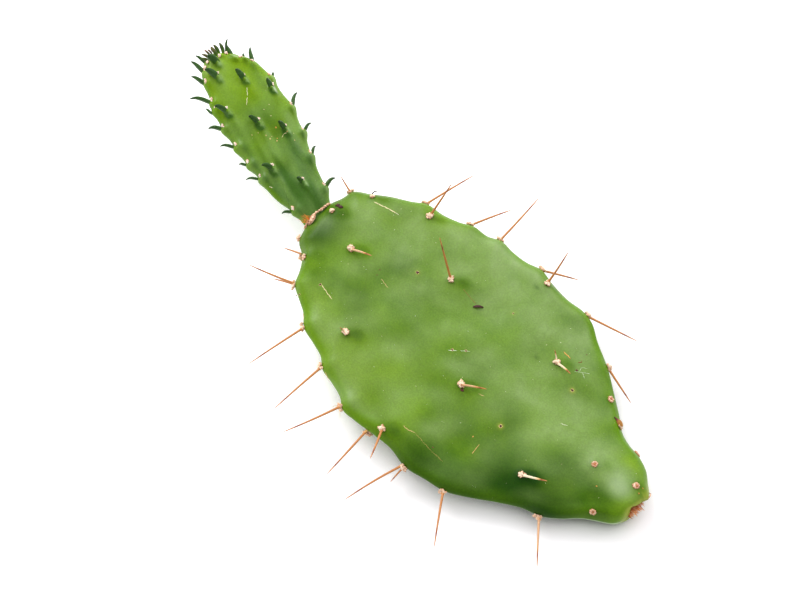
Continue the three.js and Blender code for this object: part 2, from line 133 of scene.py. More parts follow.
# Areoles of the grown pad: name, side, x, y, then a vector [across, along, out] for each spine.
AREOLES = (
    ("top_tip_left", TOP, -17.4, 204.2),
    ("top_tip", TOP, 0.2, 189.5, (-0.6, -14, 13.5)),
    ("top_junction", TOP, 9.2, 210.8),
    ("top_tip_right", TOP, 29.2, 202.2),
    ("top_shoulder", TOP, 40.6, 174, (14, -0.8, 16)),
    ("top_left", TOP, -34.1, 160.4, (-1.3, 2.4, 4.6)),
    ("top_middle", TOP, 22, 142.5, (4.4, 12.6, 21.5)),
    ("top_right", TOP, 53.8, 107.4, (13.4, 0.4, 14.5)),
    ("top_lower_left", TOP, -57.2, 114.3, (-15.6, -7.4, 6)),
    ("top_centre", TOP, -15.2, 101.6, (1.2, -13.6, 15)),
    ("top_lower_right", TOP, 25.2, 75.6, (-5.2, -11, 13.5), (2.4, 4.2, 3.4)),
    ("top_lower_middle", TOP, -29.8, 49.8, (2.2, -12.6, 13)),
    ("top_edge_right", TOP, 29.6, 44.6),
    ("top_bud_right", TOP, 22.6, 33),
    ("top_neck", TOP, -2.2, 28),
    ("top_stem_left", TOP, -19.4, 13.6),
    ("top_stem_right", TOP, 3.2, 6.6),
    ("rim_top", RIM, 26, 213.6, (0.8, 7.2, 4)),
    ("rim_right_1", RIM, 47.4, 183, (26.4, -8, 2)),
    ("rim_right_2", RIM, 54.4, 158.2, (19, -9.8, 0)),
    ("rim_right_3", RIM, 58, 141.4, (26.6, -0.6, 6)),
    ("rim_right_4", RIM, 60, 116, (8.4, -15.6, -3.6)),
    ("rim_right_5", RIM, 57.4, 82.6, (4, -26, 3)),
    ("rim_right_6", RIM, 43.4, 57.8, (-6, -18.4, -3.4)),
    ("rim_stem_right", RIM, 18.4, 18),
    ("rim_tip_left_1", RIM, -10.4, 214.6),
    ("rim_tip_left_2", RIM, -16.6, 207.6, (-1.4, 9, -3.2)),
    ("rim_left_1", RIM, -31, 198.8, (-8.2, 20.4, 6), (-2.4, 10.4, -4.4)),
    ("rim_left_2", RIM, -44.4, 180, (-31.6, 3.6, 4)),
    ("rim_left_3", RIM, -53.2, 159.4, (-31, -1, 5)),
    ("rim_left_4", RIM, -61.2, 138, (-28, 8.6, 5)),
    ("rim_left_5", RIM, -61.4, 120, (-27, -0.6, -1)),
    ("rim_left_6", RIM, -63, 94.6, (-30.2, 8.4, 2), (-7, 0.4, -5)),
    ("rim_left_7", RIM, -59.4, 73.4, (-22, -15.8, 3)),
    ("rim_left_8", RIM, -37.4, 31.4, (-18.6, -16, 4)),
    ("under_tip", UNDER, 4, 196),
    ("under_tip_left", UNDER, -28, 172),
    ("under_tip_right", UNDER, 30, 168),
    ("under_middle", UNDER, 0, 140),
    ("under_left", UNDER, -40, 112),
    ("under_right", UNDER, 38, 104),
    ("under_centre", UNDER, -2, 84),
    ("under_lower_left", UNDER, -34, 60),
    ("under_lower_right", UNDER, 24, 52),
    ("under_neck", UNDER, -8, 34),
)
# Underside spines reach the surface that the plant lies on: their run across and along.
PROPS = {
    "under_tip_left": (-7, 12), "under_tip_right": (8, 11),
    "under_left": (-9, -9), "under_right": (10, -8),
}

# Leaves of the young pad: name, side, x, y, the vector from foot to tip, and the width's share.
LEAVES = (
    ("left_1", RIM, -7.4, 10.4, (-3.9, 1.7, 1), 0.8),
    ("left_2", RIM, -15.2, 32.7, (-4.9, 2.5, 1), 0.7),
    ("left_3", RIM, -17.8, 53.2, (-5, 3.5, 1.4), 0.85),
    ("left_4", RIM, -20.6, 64.8, (-4.8, 3, 1), 1.1),
    ("left_5", RIM, -18.8, 80.6, (-7.4, 6, 1.4), 1.1),
    ("left_6", RIM, -16.6, 91.4, (-3, 5.8, 1.8), 1.15),
    ("left_7", RIM, -12.8, 97.2, (-2, 6.8, 1.4), 1.2),
    ("right_1", RIM, 12.4, 13.6, (5, 1.6, 1), 1.1),
    ("right_2", RIM, 13.8, 32, (2.4, 3.2, 1.2), 0.9),
    ("right_3", RIM, 17.2, 45.2, (3.8, 2, 1), 0.95),
    ("right_4", RIM, 19, 59.6, (4.2, 5.2, 1), 1.15),
    ("right_5", RIM, 12.4, 90.4, (1.2, 6.6, 1.6), 1.2),
    ("right_6", RIM, 4.6, 98, (-1.2, 4.8, 3), 1.3),
    ("crown_1", RIM, 3, 100, (2.8, 5.6, 3), 0.85),
    ("crown_2", RIM, -8.7, 100.6, (-2, 4.4, 1.4), 0.95),
    ("face_1", TOP, 2.3, 19.3, (-2.6, 2.2, 3.6), 0.8),
    ("face_2", TOP, -7.5, 32.9, (-5, 2.5, 3.6), 1),
    ("face_3", TOP, 8.3, 48.5, (-2.3, 3.7, 3.8), 1),
    ("face_4", TOP, -2, 57.8, (-3.9, 3.6, 3.8), 1),
    ("face_5", TOP, 13, 71.6, (-1.3, 4.1, 3.4), 1),
    ("face_6", TOP, -13, 70.6, (-5, 3.7, 3.8), 1),
    ("face_7", TOP, 3, 82.3, (-2.6, 4.8, 3.6), 1.1),
    ("face_8", TOP, -8.4, 89.4, (-4.6, 4.8, 3.4), 1.25),
    ("face_9", TOP, -4.8, 97, (-3.4, 3, 3.1), 1.4),
)
# Smaller leaves: side, x, y, and the vector from foot to tip.
SMALL_LEAVES = (
    (RIM, -20.3, 75.4, (-1.2, 3.4, 0.6)), (RIM, -17, 42.2, (-2.6, 1.4, 0.6)),
    (RIM, 9.4, 95, (0.6, 1, 0.4)), (RIM, 17.4, 78.8, (0.8, 1.2, 0.4)),
    (UNDER, 0, 14, (0, 3, -2.6)), (UNDER, -6, 30, (-1, 3, -2.6)),
    (UNDER, 7, 38, (1, 3, -2.6)), (UNDER, -9, 52, (-1, 3, -2.6)), (UNDER, 6, 60, (1, 3, -2.6)),
    (UNDER, -10, 74, (-1, 3, -2.6)), (UNDER, 8, 80, (1, 3, -2.6)), (UNDER, -2, 90, (0, 3, -2.6)),
)
# New leaves crowded at the tip: foot, vector, half width, and how red.
CROWN = (
    ((1.2, 100, 0.8), (0.4, 5.6, 2.2), 0.95, 0.15), ((-0.8, 101, 1), (-0.8, 5, 2), 0.9, 0.25),
    ((-2.4, 102, 1.2), (-1.1, 3.8, 1.8), 0.6, 0.9), ((-4.4, 101.6, 1.6), (-1.2, 3.4, 1.6), 0.5, 1),
    ((-5.6, 101.4, 1.2), (-1.5, 4.2, 1.8), 0.6, 0.95), ((-6.4, 100.2, 2), (-3, 3.6, 1.4), 0.75, 0.6),
    ((-2.6, 99.8, 3), (-1.6, 4.4, 1.6), 1, 0.5), ((-7.6, 98.4, 2.6), (-3.2, 3.6, 1.2), 0.8, 0.3),
    ((-4.6, 101, -1), (-0.8, 3.6, -0.4), 0.6, 0.8), ((-1.6, 100.6, -1.6), (0.2, 3.4, -0.8), 0.7, 0.4),
    ((-7.4, 99, -1.4), (-1.8, 3, -0.8), 0.7, 0.4), ((1.4, 99, -1.4), (0.6, 3.2, -0.8), 0.7, 0.2),
)
# Ridges' ends and tufts of wool crowded at the young pad's tip: x and y.
CROWN_BUMPS = ((4.5, 93.2), (-0.2, 98.6), (8.8, 91.4), (-11.1, 92.4))
CROWN_WOOL = ((-1.6, 98.6), (-8.6, 98.4), (-11, 96.6), (7.2, 93.4), (1.8, 98.4))


# ---- Shape of a pad ----

OUTLINE_POINTS = 480
OUTLINE_FINE = 24  # steps between two points of an outline, before they are spaced evenly
PAD_GRID = (OUTLINE_POINTS, 118, 62)  # a skin's points round the rim, its rings above and below
YOUNG_GRID = (320, 96, 60)
RING_CROWDING = 1.7  # above 1, a skin's rings crowd towards the rim
ROUNDING = 2.4  # the rim's curve: 2 is an ellipse, and more is fuller
WAVES_FROM, MOUNDS_FROM = 7, 3  # how far in from the outline they reach their full height
RIPPLES = 11  # crossing waves that make up soft unevenness
UNDER_SEED = 50  # added to the seed of a wave on the lower face
BUMP_TIPWARD, BUMP_BASEWARD = 1.6, 4.2  # how far an outline's bump reaches to either side


def closed_line(points, count):
    """A smooth closed line through the points, with its points evenly spaced."""
    p = np.array(points, float)
    before, after = np.roll(p, 1, 0), np.roll(p, -1, 0)
    to_next = np.linalg.norm(after - p, axis=1)
    to_last = np.roll(to_next, 1)
    slope = (
        (p - before) / to_last[:, None] ** 2 + (after - p) / to_next[:, None] ** 2
    ) / (1 / to_last + 1 / to_next)[:, None]
    t = np.linspace(0, 1, OUTLINE_FINE, endpoint=False)[None, :, None]
    step = to_next[:, None, None]
    fine = (
        (2 * t**3 - 3 * t**2 + 1) * p[:, None]
        + (t**3 - 2 * t**2 + t) * step * slope[:, None]
        + (3 * t**2 - 2 * t**3) * after[:, None]
        + (t**3 - t**2) * step * np.roll(slope, -1, 0)[:, None]
    ).reshape(-1, 2)
    closed = np.vstack([fine, fine[:1]])
    run = np.concatenate([[0], np.cumsum(np.linalg.norm(np.diff(closed, axis=0), axis=1))])
    at = np.linspace(0, run[-1], count, endpoint=False)
    return np.column_stack([np.interp(at, run, closed[:, k]) for k in (0, 1)])


def ripple(x, y, wavelength, seed):
    """Soft unevenness over x and y, mostly between -1 and 1."""
    rng = np.random.default_rng(seed)
    heading = rng.uniform(0, 2 * math.pi, RIPPLES)
    phase = rng.uniform(0, 2 * math.pi, RIPPLES)
    pace = 2 * math.pi / wavelength * rng.uniform(0.6, 1.4, RIPPLES)
    waves = [
        np.sin(k * (x * math.cos(a) + y * math.sin(a)) + f)
        for k, a, f in zip(pace, heading, phase)
    ]
    return sum(waves) * 1.2 / math.sqrt(RIPPLES)


def eased(low, high, value):
    """A soft step: 0 up to low, 1 from high on."""
    t = np.clip((value - low) / (high - low), 0, 1)
    return t * t * (3 - 2 * t)


def spot(x, y, at_x, at_y, wide, long):
    """A soft spot: 1 in its middle, fading over its half width and half length."""
    return np.exp(-(((x - at_x) / wide) ** 2) - ((y - at_y) / long) ** 2)


def over_areas(x, y, areas):
    """How strongly soft areas cover each point. An area is x, y, half width, half length, strength."""
    return sum(strong * spot(x, y, *place) for *place, strong in areas)


class Pad:
    """A flat stem: an outline, a thickness over it, and mounds on either face."""

    def __init__(self, outline, centre, belly, rim, neck):
        self.outline = outline
        self.line = closed_line(outline, OUTLINE_POINTS)
        self.centre = np.array(centre, float)
        self.belly = belly
        self.rim = rim  # widths of the rounding, and where along the pad they hold
        self.neck = neck  # added thickness, where along the pad it is most, and how far it reaches
        self.mounds = []  # (side, x, y, height, half width, half length, heading)
        self.waves = []  # (height, wavelength, seed)

    def bare(self):
        """The same pad without its bumps, mounds and waves."""
        return Pad(self.outline, self.centre, self.belly, self.rim, self.neck)

    def nearest(self, x, y):
        """Index of the outline's point nearest to a place."""
        return int(np.argmin(np.hypot(self.line[:, 0] - x, self.line[:, 1] - y)))

    def swell(self, x, y, tall):
        """Pushes the outline out into a bump: steep towards the tip, long towards the base."""
        near = self.nearest(x, y)
        run = np.linalg.norm(self.line - self.line[near], axis=1)
        tipward = self.line[:, 1] > self.line[near, 1]
        bump = tall * np.exp(-((run / np.where(tipward, BUMP_TIPWARD, BUMP_BASEWARD)) ** 2))
        way = np.roll(self.line, -3, 0) - np.roll(self.line, 3, 0)
        out = np.column_stack([way[:, 1], -way[:, 0]]) / np.linalg.norm(way, axis=1)[:, None]
        self.line = self.line + out * bump[:, None]

    def inset(self, x, y):
        """Distance in from the outline."""
        a = self.line
        u = np.roll(a, -1, 0) - a
        size = (u**2).sum(1)
        least = np.full(np.shape(x), np.inf)
        for (ax, ay), (ux, uy), uu in zip(a, u, size):
            t = np.clip(((x - ax) * ux + (y - ay) * uy) / uu, 0, 1)
            least = np.minimum(least, (x - ax - t * ux) ** 2 + (y - ay - t * uy) ** 2)
        return np.sqrt(least)

    def holds(self, x, y):
        """Whether a point lies inside the outline."""
        a, b = self.line, np.roll(self.line, -1, 0)
        crosses = (a[:, 1] > y) != (b[:, 1] > y)
        at = a[:, 0] + (y - a[:, 1]) / np.where(crosses, b[:, 1] - a[:, 1], 1) * (b[:, 0] - a[:, 0])
        return bool((crosses & (x < at)).sum() % 2)

    def height(self, x, y, side):
        """How far the face on a side lies from the middle plane."""
        x, y = np.asarray(x, float), np.asarray(y, float)
        d = self.inset(x, y)
        extra, at, span = self.neck
        rim = np.interp(y, self.rim[1], self.rim[0])
        full = self.belly + extra * np.exp(-(((y - at) / span) ** 2))
        h = full * np.sqrt(1 - (1 - np.clip(d / rim, 0, 1)) ** ROUNDING)
        inside = eased(0, WAVES_FROM, d)
        for tall, wavelength, seed in self.waves:
            h = h + tall * inside * ripple(x, y, wavelength, seed + UNDER_SEED * (side < 0))
        for of_side, mx, my, tall, wide, long, heading in self.mounds:
            if of_side not in (side, RIM):
                continue
            c, s = math.cos(heading), math.sin(heading)
            across = ((x - mx) * c + (y - my) * s) / wide
            along = (-(x - mx) * s + (y - my) * c) / long
            h = h + tall * eased(0, MOUNDS_FROM, d) * np.exp(-(across**2) - along**2)
        return h

    def seat(self, side, x, y):
        """The point of the skin at an areole, and the way out of it."""
        if side == RIM:
            near = self.nearest(x, y)
            n = len(self.line)
            before, after = self.line[(near - 5) % n], self.line[(near + 5) % n]
            out = np.array([after[1] - before[1], before[0] - after[0], 0.0])
            at = np.array([*self.line[near], 0.0])
            return at, out / np.linalg.norm(out)
        e = 0.6  # the slope is taken this far to either side
        h = self.height(np.array([x, x + e, x - e, x, x]), np.array([y, y, y, y + e, y - e]), side)
        out = np.array([-(h[1] - h[2]) / (2 * e), -(h[3] - h[4]) / (2 * e), side])
        return np.array([x, y, side * h[0]]), out / np.linalg.norm(out)

    def shell(self, around, rings_top, rings_under):
        """The pad's closed skin: points and faces, in rings from the outline to the centre."""
        step = len(self.line) / around
        rim = self.line[(np.arange(around) * step).astype(int)]
        layers, faces = [np.column_stack([rim, np.zeros(around)])], []
        count = around
        for side, rings in ((TOP, rings_top), (UNDER, rings_under)):
            outer = 0
            for k in range(1, rings):
                share = 1 - (k / rings) ** RING_CROWDING
                xy = self.centre + (rim - self.centre) * share
                z = side * self.height(xy[:, 0], xy[:, 1], side)
                layers.append(np.column_stack([xy, z]))
                for i in range(around):
                    j = (i + 1) % around
                    quad = (outer + i, outer + j, count + j, count + i)
                    faces.append(quad if side == TOP else quad[::-1])
                outer, count = count, count + around
            z = side * float(self.height(*self.centre, side))
            layers.append(np.array([[*self.centre, z]]))
            for i in range(around):
                tri = (outer + i, outer + (i + 1) % around, count)
                faces.append(tri if side == TOP else tri[::-1])
            count += 1
        return np.vstack(layers), faces


# ---- Building pieces ----


def srgb(red, green, blue):
    """A colour given in 0 to 255 as a screen shows it, in linear light."""
    return tuple(
        c / 12.92 if c <= 0.04045 else ((c + 0.055) / 1.055) ** 2.4
        for c in (red / 255, green / 255, blue / 255)
    )


def linked(name, data):
    """A new object in the scene."""
    made = bpy.data.objects.new(name, data)
    bpy.context.scene.collection.objects.link(made)
    return made


def make_piece(name, points, faces, look, stands_for=(), values=None):
    """A smooth mesh of points in the row frame, riding on the plant's one body."""
    mesh = bpy.data.meshes.new(name)
    mesh.from_pydata(np.asarray(points).tolist(), [], faces)
    mesh.update()
    for key, numbers in (values or {}).items():
        layer = mesh.attributes.new(key, "FLOAT", "POINT")
        layer.data.foreach_set("value", np.asarray(numbers, np.float32))
    mesh.materials.append(look)
    mesh.shade_smooth()
    settle(linked(name, mesh), stands_for)


def settle(piece, stands_for=()):
    """Puts a piece on the plant's one body, and hides the nodes it stands for."""
    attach(piece, "root")
    if stands_for:
        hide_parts(*stands_for)


class Gather:
    """Points, faces and values of many small shapes that make one piece."""

    def __init__(self):
        self.points, self.faces, self.values, self.count = [], [], {}, 0

    def add(self, shape, **values):
        """Takes in a shape, with a value for all its points or one for each of them."""
        points, faces = shape[:2]
        self.points.append(points)
        self.faces += [tuple(i + self.count for i in f) for f in faces]
        self.count += len(points)
        for key, numbers in values.items():
            self.values.setdefault(key, []).append(
                np.broadcast_to(np.asarray(numbers, float), (len(points),))
            )

    def piece(self, name, place, look, slot):
        values = {key: np.concatenate(v) for key, v in self.values.items()}
        make_piece(name, place(np.vstack(self.points)), self.faces, look, (), values)


def unit(v):
    """A vector made one long."""
    v = np.asarray(v, float)
    return v / (np.linalg.norm(v) or 1)


def side_ways(axis):
    """Two directions across an axis."""
    axis = unit(axis)
    guide = np.array([0, 0, 1.0]) if abs(axis[2]) < 0.9 else np.array([1.0, 0, 0])
    first = unit(np.cross(guide, axis))
    return first, np.cross(axis, first)


def skin_ways(out):
    """Three directions at a place of the skin: two across it, then the way out."""
    return np.array([*side_ways(out), out])


def tube(path, radii, sides, flat=1.0, wide_way=None):
    """A closed tapering tube along a path: points, faces, and the share of the way along."""
    path = np.asarray(path, float)
    radii = np.broadcast_to(np.asarray(radii, float), (len(path),))
    heading = np.gradient(path, axis=0)
    first = side_ways(heading[0])[0] if wide_way is None else np.array(wide_way, float)
    points, faces = [], []
    turn = np.arange(sides) * 2 * math.pi / sides
    for centre, way, radius in zip(path, heading, radii):
        way = unit(way)
        first = unit(first - way * (first @ way))
        second = np.cross(way, first)
        ring = np.outer(np.cos(turn), first) + np.outer(np.sin(turn) * flat, second)
        points.append(centre + radius * ring)
    rows = len(path)
    for r in range(rows - 1):
        for i in range(sides):
            j = (i + 1) % sides
            a, b = r * sides, (r + 1) * sides
            faces.append((a + i, a + j, b + j, b + i))
    points.append(path[:1])
    points.append(path[-1:])
    foot, tip = rows * sides, rows * sides + 1
    last = (rows - 1) * sides
    for i in range(sides):
        j = (i + 1) % sides
        faces.append((foot, j, i))
        faces.append((tip, last + i, last + j))
    along = np.concatenate([np.repeat(np.linspace(0, 1, rows), sides), [0, 1]])
    return np.vstack(points), faces, along


def bowed(start, vector, bow, steps):
    """Points from start along a vector, pushed aside in the middle by bow."""
    t = np.linspace(0, 1, steps)[:, None]
    return np.asarray(start) + t * np.asarray(vector) + np.sin(math.pi * t) * np.asarray(bow)


def ball():
    """An even ball of radius one: points and triangles."""
    built = bmesh.new()
    bmesh.ops.create_icosphere(built, subdivisions=3, radius=1)
    points = np.array([v.co[:] for v in built.verts])
    faces = [tuple(v.index for v in f.verts) for f in built.faces]
    built.free()
    return points, faces


BALL_POINTS, BALL_FACES = ball()
BLOB_WAVES, BLOB_EVEN = 7, 2.6  # waves that make a ball lumpy, and what evens out their sum


def blob(centre, sizes, axes, rng, rough):
    """A lumpy ball with its own sizes along three axes."""
    p = BALL_POINTS
    bumps = np.zeros(len(p))
    for _ in range(BLOB_WAVES):
        way = unit(rng.normal(size=3))
        bumps += np.sin(rng.uniform(2, 5) * (p @ way) + rng.uniform(0, 6))
    grown = p * (1 + rough * bumps / BLOB_EVEN)[:, None]
    return np.asarray(centre) + grown @ (np.asarray(sizes)[:, None] * np.asarray(axes)), BALL_FACES


# ---- Shader nodes ----

FINE_BUMP = 0.0002  # metres that the finest relief stands out


def feed(tree, made, inputs):
    """Gives a node's inputs their values, or other nodes' outputs."""
    for key, value in inputs.items():
        if isinstance(value, bpy.types.NodeSocket):
            tree.links.new(value, made.inputs[key])
        else:
            made.inputs[key].default_value = value


def node(tree, kind, settings=None, inputs=None):
    """A node with its settings and inputs."""
    made = tree.nodes.new(kind)
    for key, value in (settings or {}).items():
        setattr(made, key, value)
    feed(tree, made, inputs or {})
    return made


def maths(tree, operation, *terms, clamp=False):
    """A sum that is worked out at each point of a surface."""
    kind = {"operation": operation, "use_clamp": clamp}
    return node(tree, "ShaderNodeMath", kind, dict(enumerate(terms))).outputs[0]


def scaled(tree, value, by, plus=0.0):
    return maths(tree, "MULTIPLY_ADD", value, by, plus)


def product(tree, first, second):
    return maths(tree, "MULTIPLY", first, second)


def laid_over(tree, value, start, end, low=0.0, high=1.0, kind="SMOOTHSTEP"):
    """A value's stretch from start to end, laid over the stretch from low to high."""
    return node(tree, "ShaderNodeMapRange", {"interpolation_type": kind}, {
        "Value": value, "From Min": start, "From Max": end, "To Min": low, "To Max": high,
    }).outputs[0]


def colour(shade):
    """A colour as a node takes it: another node's output, or three numbers with full cover."""
    return shade if isinstance(shade, bpy.types.NodeSocket) else (*shade, 1.0)


def mixed(tree, share, first, second):
    """Two colours mixed by a share from 0 to 1."""
    inputs = {0: share, 6: colour(first), 7: colour(second)}
    return node(tree, "ShaderNodeMix", {"data_type": "RGBA"}, inputs).outputs[2]


def ramp(tree, value, stops):
    """Colours laid along a value from 0 to 1."""
    made = node(tree, "ShaderNodeValToRGB", None, {"Fac": value})
    elements = made.color_ramp.elements
    while len(elements) < len(stops):
        elements.new(0.5)
    for element, (at, shade) in zip(elements, stops):
        element.position = at
        element.color = colour(shade)
    return made.outputs["Color"]


def value_of(tree, name):
    """A value that the mesh carries at its points."""
    return node(tree, "ShaderNodeAttribute", {"attribute_name": name}).outputs["Fac"]


def object_place(tree):
    return node(tree, "ShaderNodeTexCoord").outputs["Object"]


# ---- Shader groups ----


def mask_group(name, **sizes):
    """A shader group whose named sizes lead to one mask: its tree, its inputs and its end."""
    tree = bpy.data.node_groups.new(name, "ShaderNodeTree")
    for label, value in sizes.items():
        made = tree.interface.new_socket(name=label, in_out="INPUT", socket_type="NodeSocketFloat")
        made.default_value = value
    tree.interface.new_socket(name="Mask", in_out="OUTPUT", socket_type="NodeSocketFloat")
    return tree, tree.nodes.new("NodeGroupInput").outputs, tree.nodes.new("NodeGroupOutput")


def patches_group():
    """Soft patches: 0 to 1 over the surface, of a given size."""
    tree, into, out = mask_group("Patches", Size=0.01, Contrast=0.2, Level=0.5, Detail=3.0)
    noise = node(tree, "ShaderNodeTexNoise", None, {
        "Vector": object_place(tree), "Scale": maths(tree, "DIVIDE", 1.0, into["Size"]),
        "Detail": into["Detail"], "Roughness": 0.55,
    })
    low = maths(tree, "SUBTRACT", into["Level"], into["Contrast"])
    high = maths(tree, "ADD", into["Level"], into["Contrast"])
    feed(tree, out, {"Mask": laid_over(tree, noise.outputs["Fac"], low, high)})
    return tree


def specks_group():
    """Small round specks: 1 inside each, 0 between them."""
    tree, into, out = mask_group("Specks", Spacing=0.004, Reach=0.1)
    cells = node(tree, "ShaderNodeTexVoronoi", None, {
        "Vector": object_place(tree), "Scale": maths(tree, "DIVIDE", 1.0, into["Spacing"]),
    })
    feed(tree, out, {"Mask": laid_over(tree, cells.outputs["Distance"], into["Reach"], 0.0)})
    return tree


GROUP_MAKERS = {"Patches": patches_group, "Specks": specks_group}


def placed(tree, name, **inputs):
    """The mask of a shader group put into a material with its own values."""
    group = bpy.data.node_groups.get(name) or GROUP_MAKERS[name]()
    return node(tree, "ShaderNodeGroup", {"node_tree": group}, inputs).outputs["Mask"]


# ---- Materials ----

BLACK, WHITE = (0.0, 0.0, 0.0), (1.0, 1.0, 1.0)
PALE_DOT = srgb(190, 205, 150)
HORN_STREAK = srgb(156, 78, 40)
WOOL_TIPS = (1, 0.95, 0.9)
LEAF_RED = ((0.35, srgb(84, 62, 34)), (1.0, srgb(136, 74, 48)))
CORK = (srgb(178, 118, 84), srgb(250, 208, 176))
STRAW = (srgb(196, 138, 70), srgb(236, 200, 140))
AMBER = (srgb(196, 104, 16), srgb(236, 158, 48))
WOOL_HAIR = (srgb(240, 196, 168), srgb(255, 236, 220))
FIBRE = ((0.0, srgb(112, 52, 20)), (0.4, srgb(196, 112, 58)), (1.0, srgb(250, 206, 160)))
MARK_TONES = (
    (0.0, srgb(46, 10, 20)), (0.2, srgb(104, 42, 32)), (0.4, srgb(150, 98, 40)),
    (0.6, srgb(216, 150, 60)), (0.8, srgb(226, 212, 156)), (1.0, srgb(226, 240, 206)),
)


def new_look(name):
    look = bpy.data.materials.new(name)
    look.use_nodes = True
    tree = look.node_tree
    return look, tree, tree.nodes["Principled BSDF"]


def bumped(tree, shader, height, strength, distance=FINE_BUMP):
    relief = {"Height": height, "Strength": strength, "Distance": distance}
    feed(tree, shader, {"Normal": node(tree, "ShaderNodeBump", None, relief).outputs[0]})


def skin_look(name, s, greens, gloss, coat, wear_and_light=None):
    """Waxy skin over a pad's own greens: a bright rim, a grey waxy cast that is partly painted sheen, fine
    pores, dots, and the dry marks and painted light that a given function lays over it.
    """
    look, tree, shader = new_look(name)
    green = greens(tree, placed(tree, "Patches", Size=0.03, Contrast=0.16), s)
    green = mixed(tree, scaled(tree, value_of(tree, "rim"), 0.75), green, s.rim_tint)
    # A grey waxy cast that is partly painted sheen: a paler colour where the light's reflection falls, with
    # a clear coat over it there.
    cloud = placed(tree, "Patches", Size=0.007, Contrast=0.22, Detail=5.0)
    sheen_veil = product(tree, value_of(tree, "bloom_and_sheen"), scaled(tree, cloud, 0.3, 0.7))
    green = mixed(tree, sheen_veil, green, s.bloom_and_sheen)
    grain = placed(tree, "Patches", Size=0.0009, Contrast=0.2, Detail=2.0)
    green = mixed(tree, grain, mixed(tree, 0.16, green, BLACK), green)
    dots = placed(tree, "Specks", Spacing=0.0045, Reach=0.07)
    green = mixed(tree, scaled(tree, dots, 0.35), green, PALE_DOT)
    bumped(tree, shader, grain, 0.12)
    feed(tree, shader, {
        "Base Color": wear_and_light(tree, green, s) if wear_and_light else green,
        "Roughness": scaled(tree, sheen_veil, 0.16, gloss),
        "Coat Weight": scaled(tree, sheen_veil, coat), "Coat Roughness": 0.32,
        "Specular IOR Level": 0.1, "Subsurface Weight": 0.08,
        "Subsurface Radius": (0.4, 1.0, 0.2), "Subsurface Scale": 0.003,
    })
    return look


def grown_greens(tree, patches, s):
    """Green in soft patches, a fresher yellow green that is partly painted light, and darkest green as
    painted shade.
    """
    green = mixed(tree, patches, s.deep, s.mid)
    green = mixed(tree, value_of(tree, "fresh_and_lit"), green, s.fresh_and_lit)
    return mixed(tree, value_of(tree, "deep"), green, s.shade)


def grown_wear_and_light(tree, skin, s):
    """Dry spots, a pale edge that is a painted reflection of the floor along the lower rim with painted
    highlights, the lip, drawn wider on its right side as painted light, and the inside of the stem end's
    cut, laid over the skin.
    """
    for key, most, shade in (("dry", 0.55, s.dry), ("edge", 0.75, s.edge), ("lip", 0.8, s.lip)):
        skin = mixed(tree, scaled(tree, value_of(tree, key), most), skin, shade)
    return mixed(tree, value_of(tree, "cut"), skin, s.cut)


def young_greens(tree, patches, s):
    """Deep green at the foot, turning to yellow green above in soft patches, and kept deep as painted shade
    beside the leaves and on the right side.
    """
    along = scaled(tree, value_of(tree, "along"), 1.25, -0.3)
    share = maths(tree, "ADD", along, scaled(tree, patches, 0.3), clamp=True)
    return mixed(tree, share, s.deep, s.mid)


def horn_look(s):
    """Horn that is brown or cream from foot to tip, with fine darker streaks."""
    look, tree, shader = new_look("spine_horn")
    along = value_of(tree, "along")
    brown = ramp(tree, along, (
        (0.0, s.pale), (0.06, s.horn), (0.64, s.horn), (0.76, s.band), (0.85, s.horn), (1.0, s.horn),
    ))
    cream = ramp(tree, along, (
        (0.0, s.horn), (0.07, s.cream), (0.5, s.cream), (0.66, s.pale), (0.76, s.band), (1.0, s.horn),
    ))
    streaks = placed(tree, "Patches", Size=0.0012, Contrast=0.25)
    horn = mixed(tree, value_of(tree, "cream"), brown, cream)
    horn = mixed(tree, scaled(tree, streaks, 0.3), horn, HORN_STREAK)
    feed(tree, shader, {"Base Color": horn, "Roughness": 0.42})
    bumped(tree, shader, streaks, 0.2)
    return look


def leaf_look(s):
    """A leaf's green from foot to tip, turned red on the newest ones, with a grey stripe."""
    look, tree, shader = new_look("leaf_green")
    along = value_of(tree, "along")
    green = ramp(tree, along, (
        (0.0, s.foot_green), (0.2, s.foot_green), (0.42, s.green), (0.8, s.green), (1.0, s.tip),
    ))
    red = ramp(tree, along, ((0.0, s.foot_green), *LEAF_RED))
    streaks = placed(tree, "Patches", Size=0.0014, Contrast=0.2)
    green = mixed(tree, value_of(tree, "red"), green, red)
    green = mixed(tree, scaled(tree, streaks, 0.55), green, s.sheen)
    feed(tree, shader, {"Base Color": green, "Roughness": 0.32, "Specular IOR Level": 0.3})
    bumped(tree, shader, streaks, 0.2)
    return look


def felt_look(name, low, high, pale):
    """Felt: brown down in the folds as painted shade, pale on the crests as painted light."""
    look, tree, shader = new_look(name)
    fluff = placed(tree, "Patches", Size=0.0007, Contrast=0.2, Detail=4.0)
    raised = value_of(tree, "raised")
    felt = mixed(tree, product(tree, fluff, raised), mixed(tree, raised, low, high), pale)
    feed(tree, shader, {"Base Color": felt, "Roughness": 0.95, "Sheen Weight": 0.25})
    bumped(tree, shader, fluff, 0.6, 0.0003)
    return look


def crust_look(name, tints, size, roughness=0.85):
    """Dry crust: two browns in small patches, with a rough surface."""
    look, tree, shader = new_look(name)
    flakes = placed(tree, "Patches", Size=size, Contrast=0.16, Detail=5.0)
    feed(tree, shader, {"Base Color": mixed(tree, flakes, *tints), "Roughness": roughness})
    bumped(tree, shader, flakes, 0.5, 0.0004)
    return look


def toned_look(name, value, stops, roughness):
    """A dry surface whose colour follows a value that the mesh carries."""
    look, tree, shader = new_look(name)
    feed(tree, shader, {"Base Color": ramp(tree, value_of(tree, value), stops), "Roughness": roughness})
    return look


# ---- Settings ----


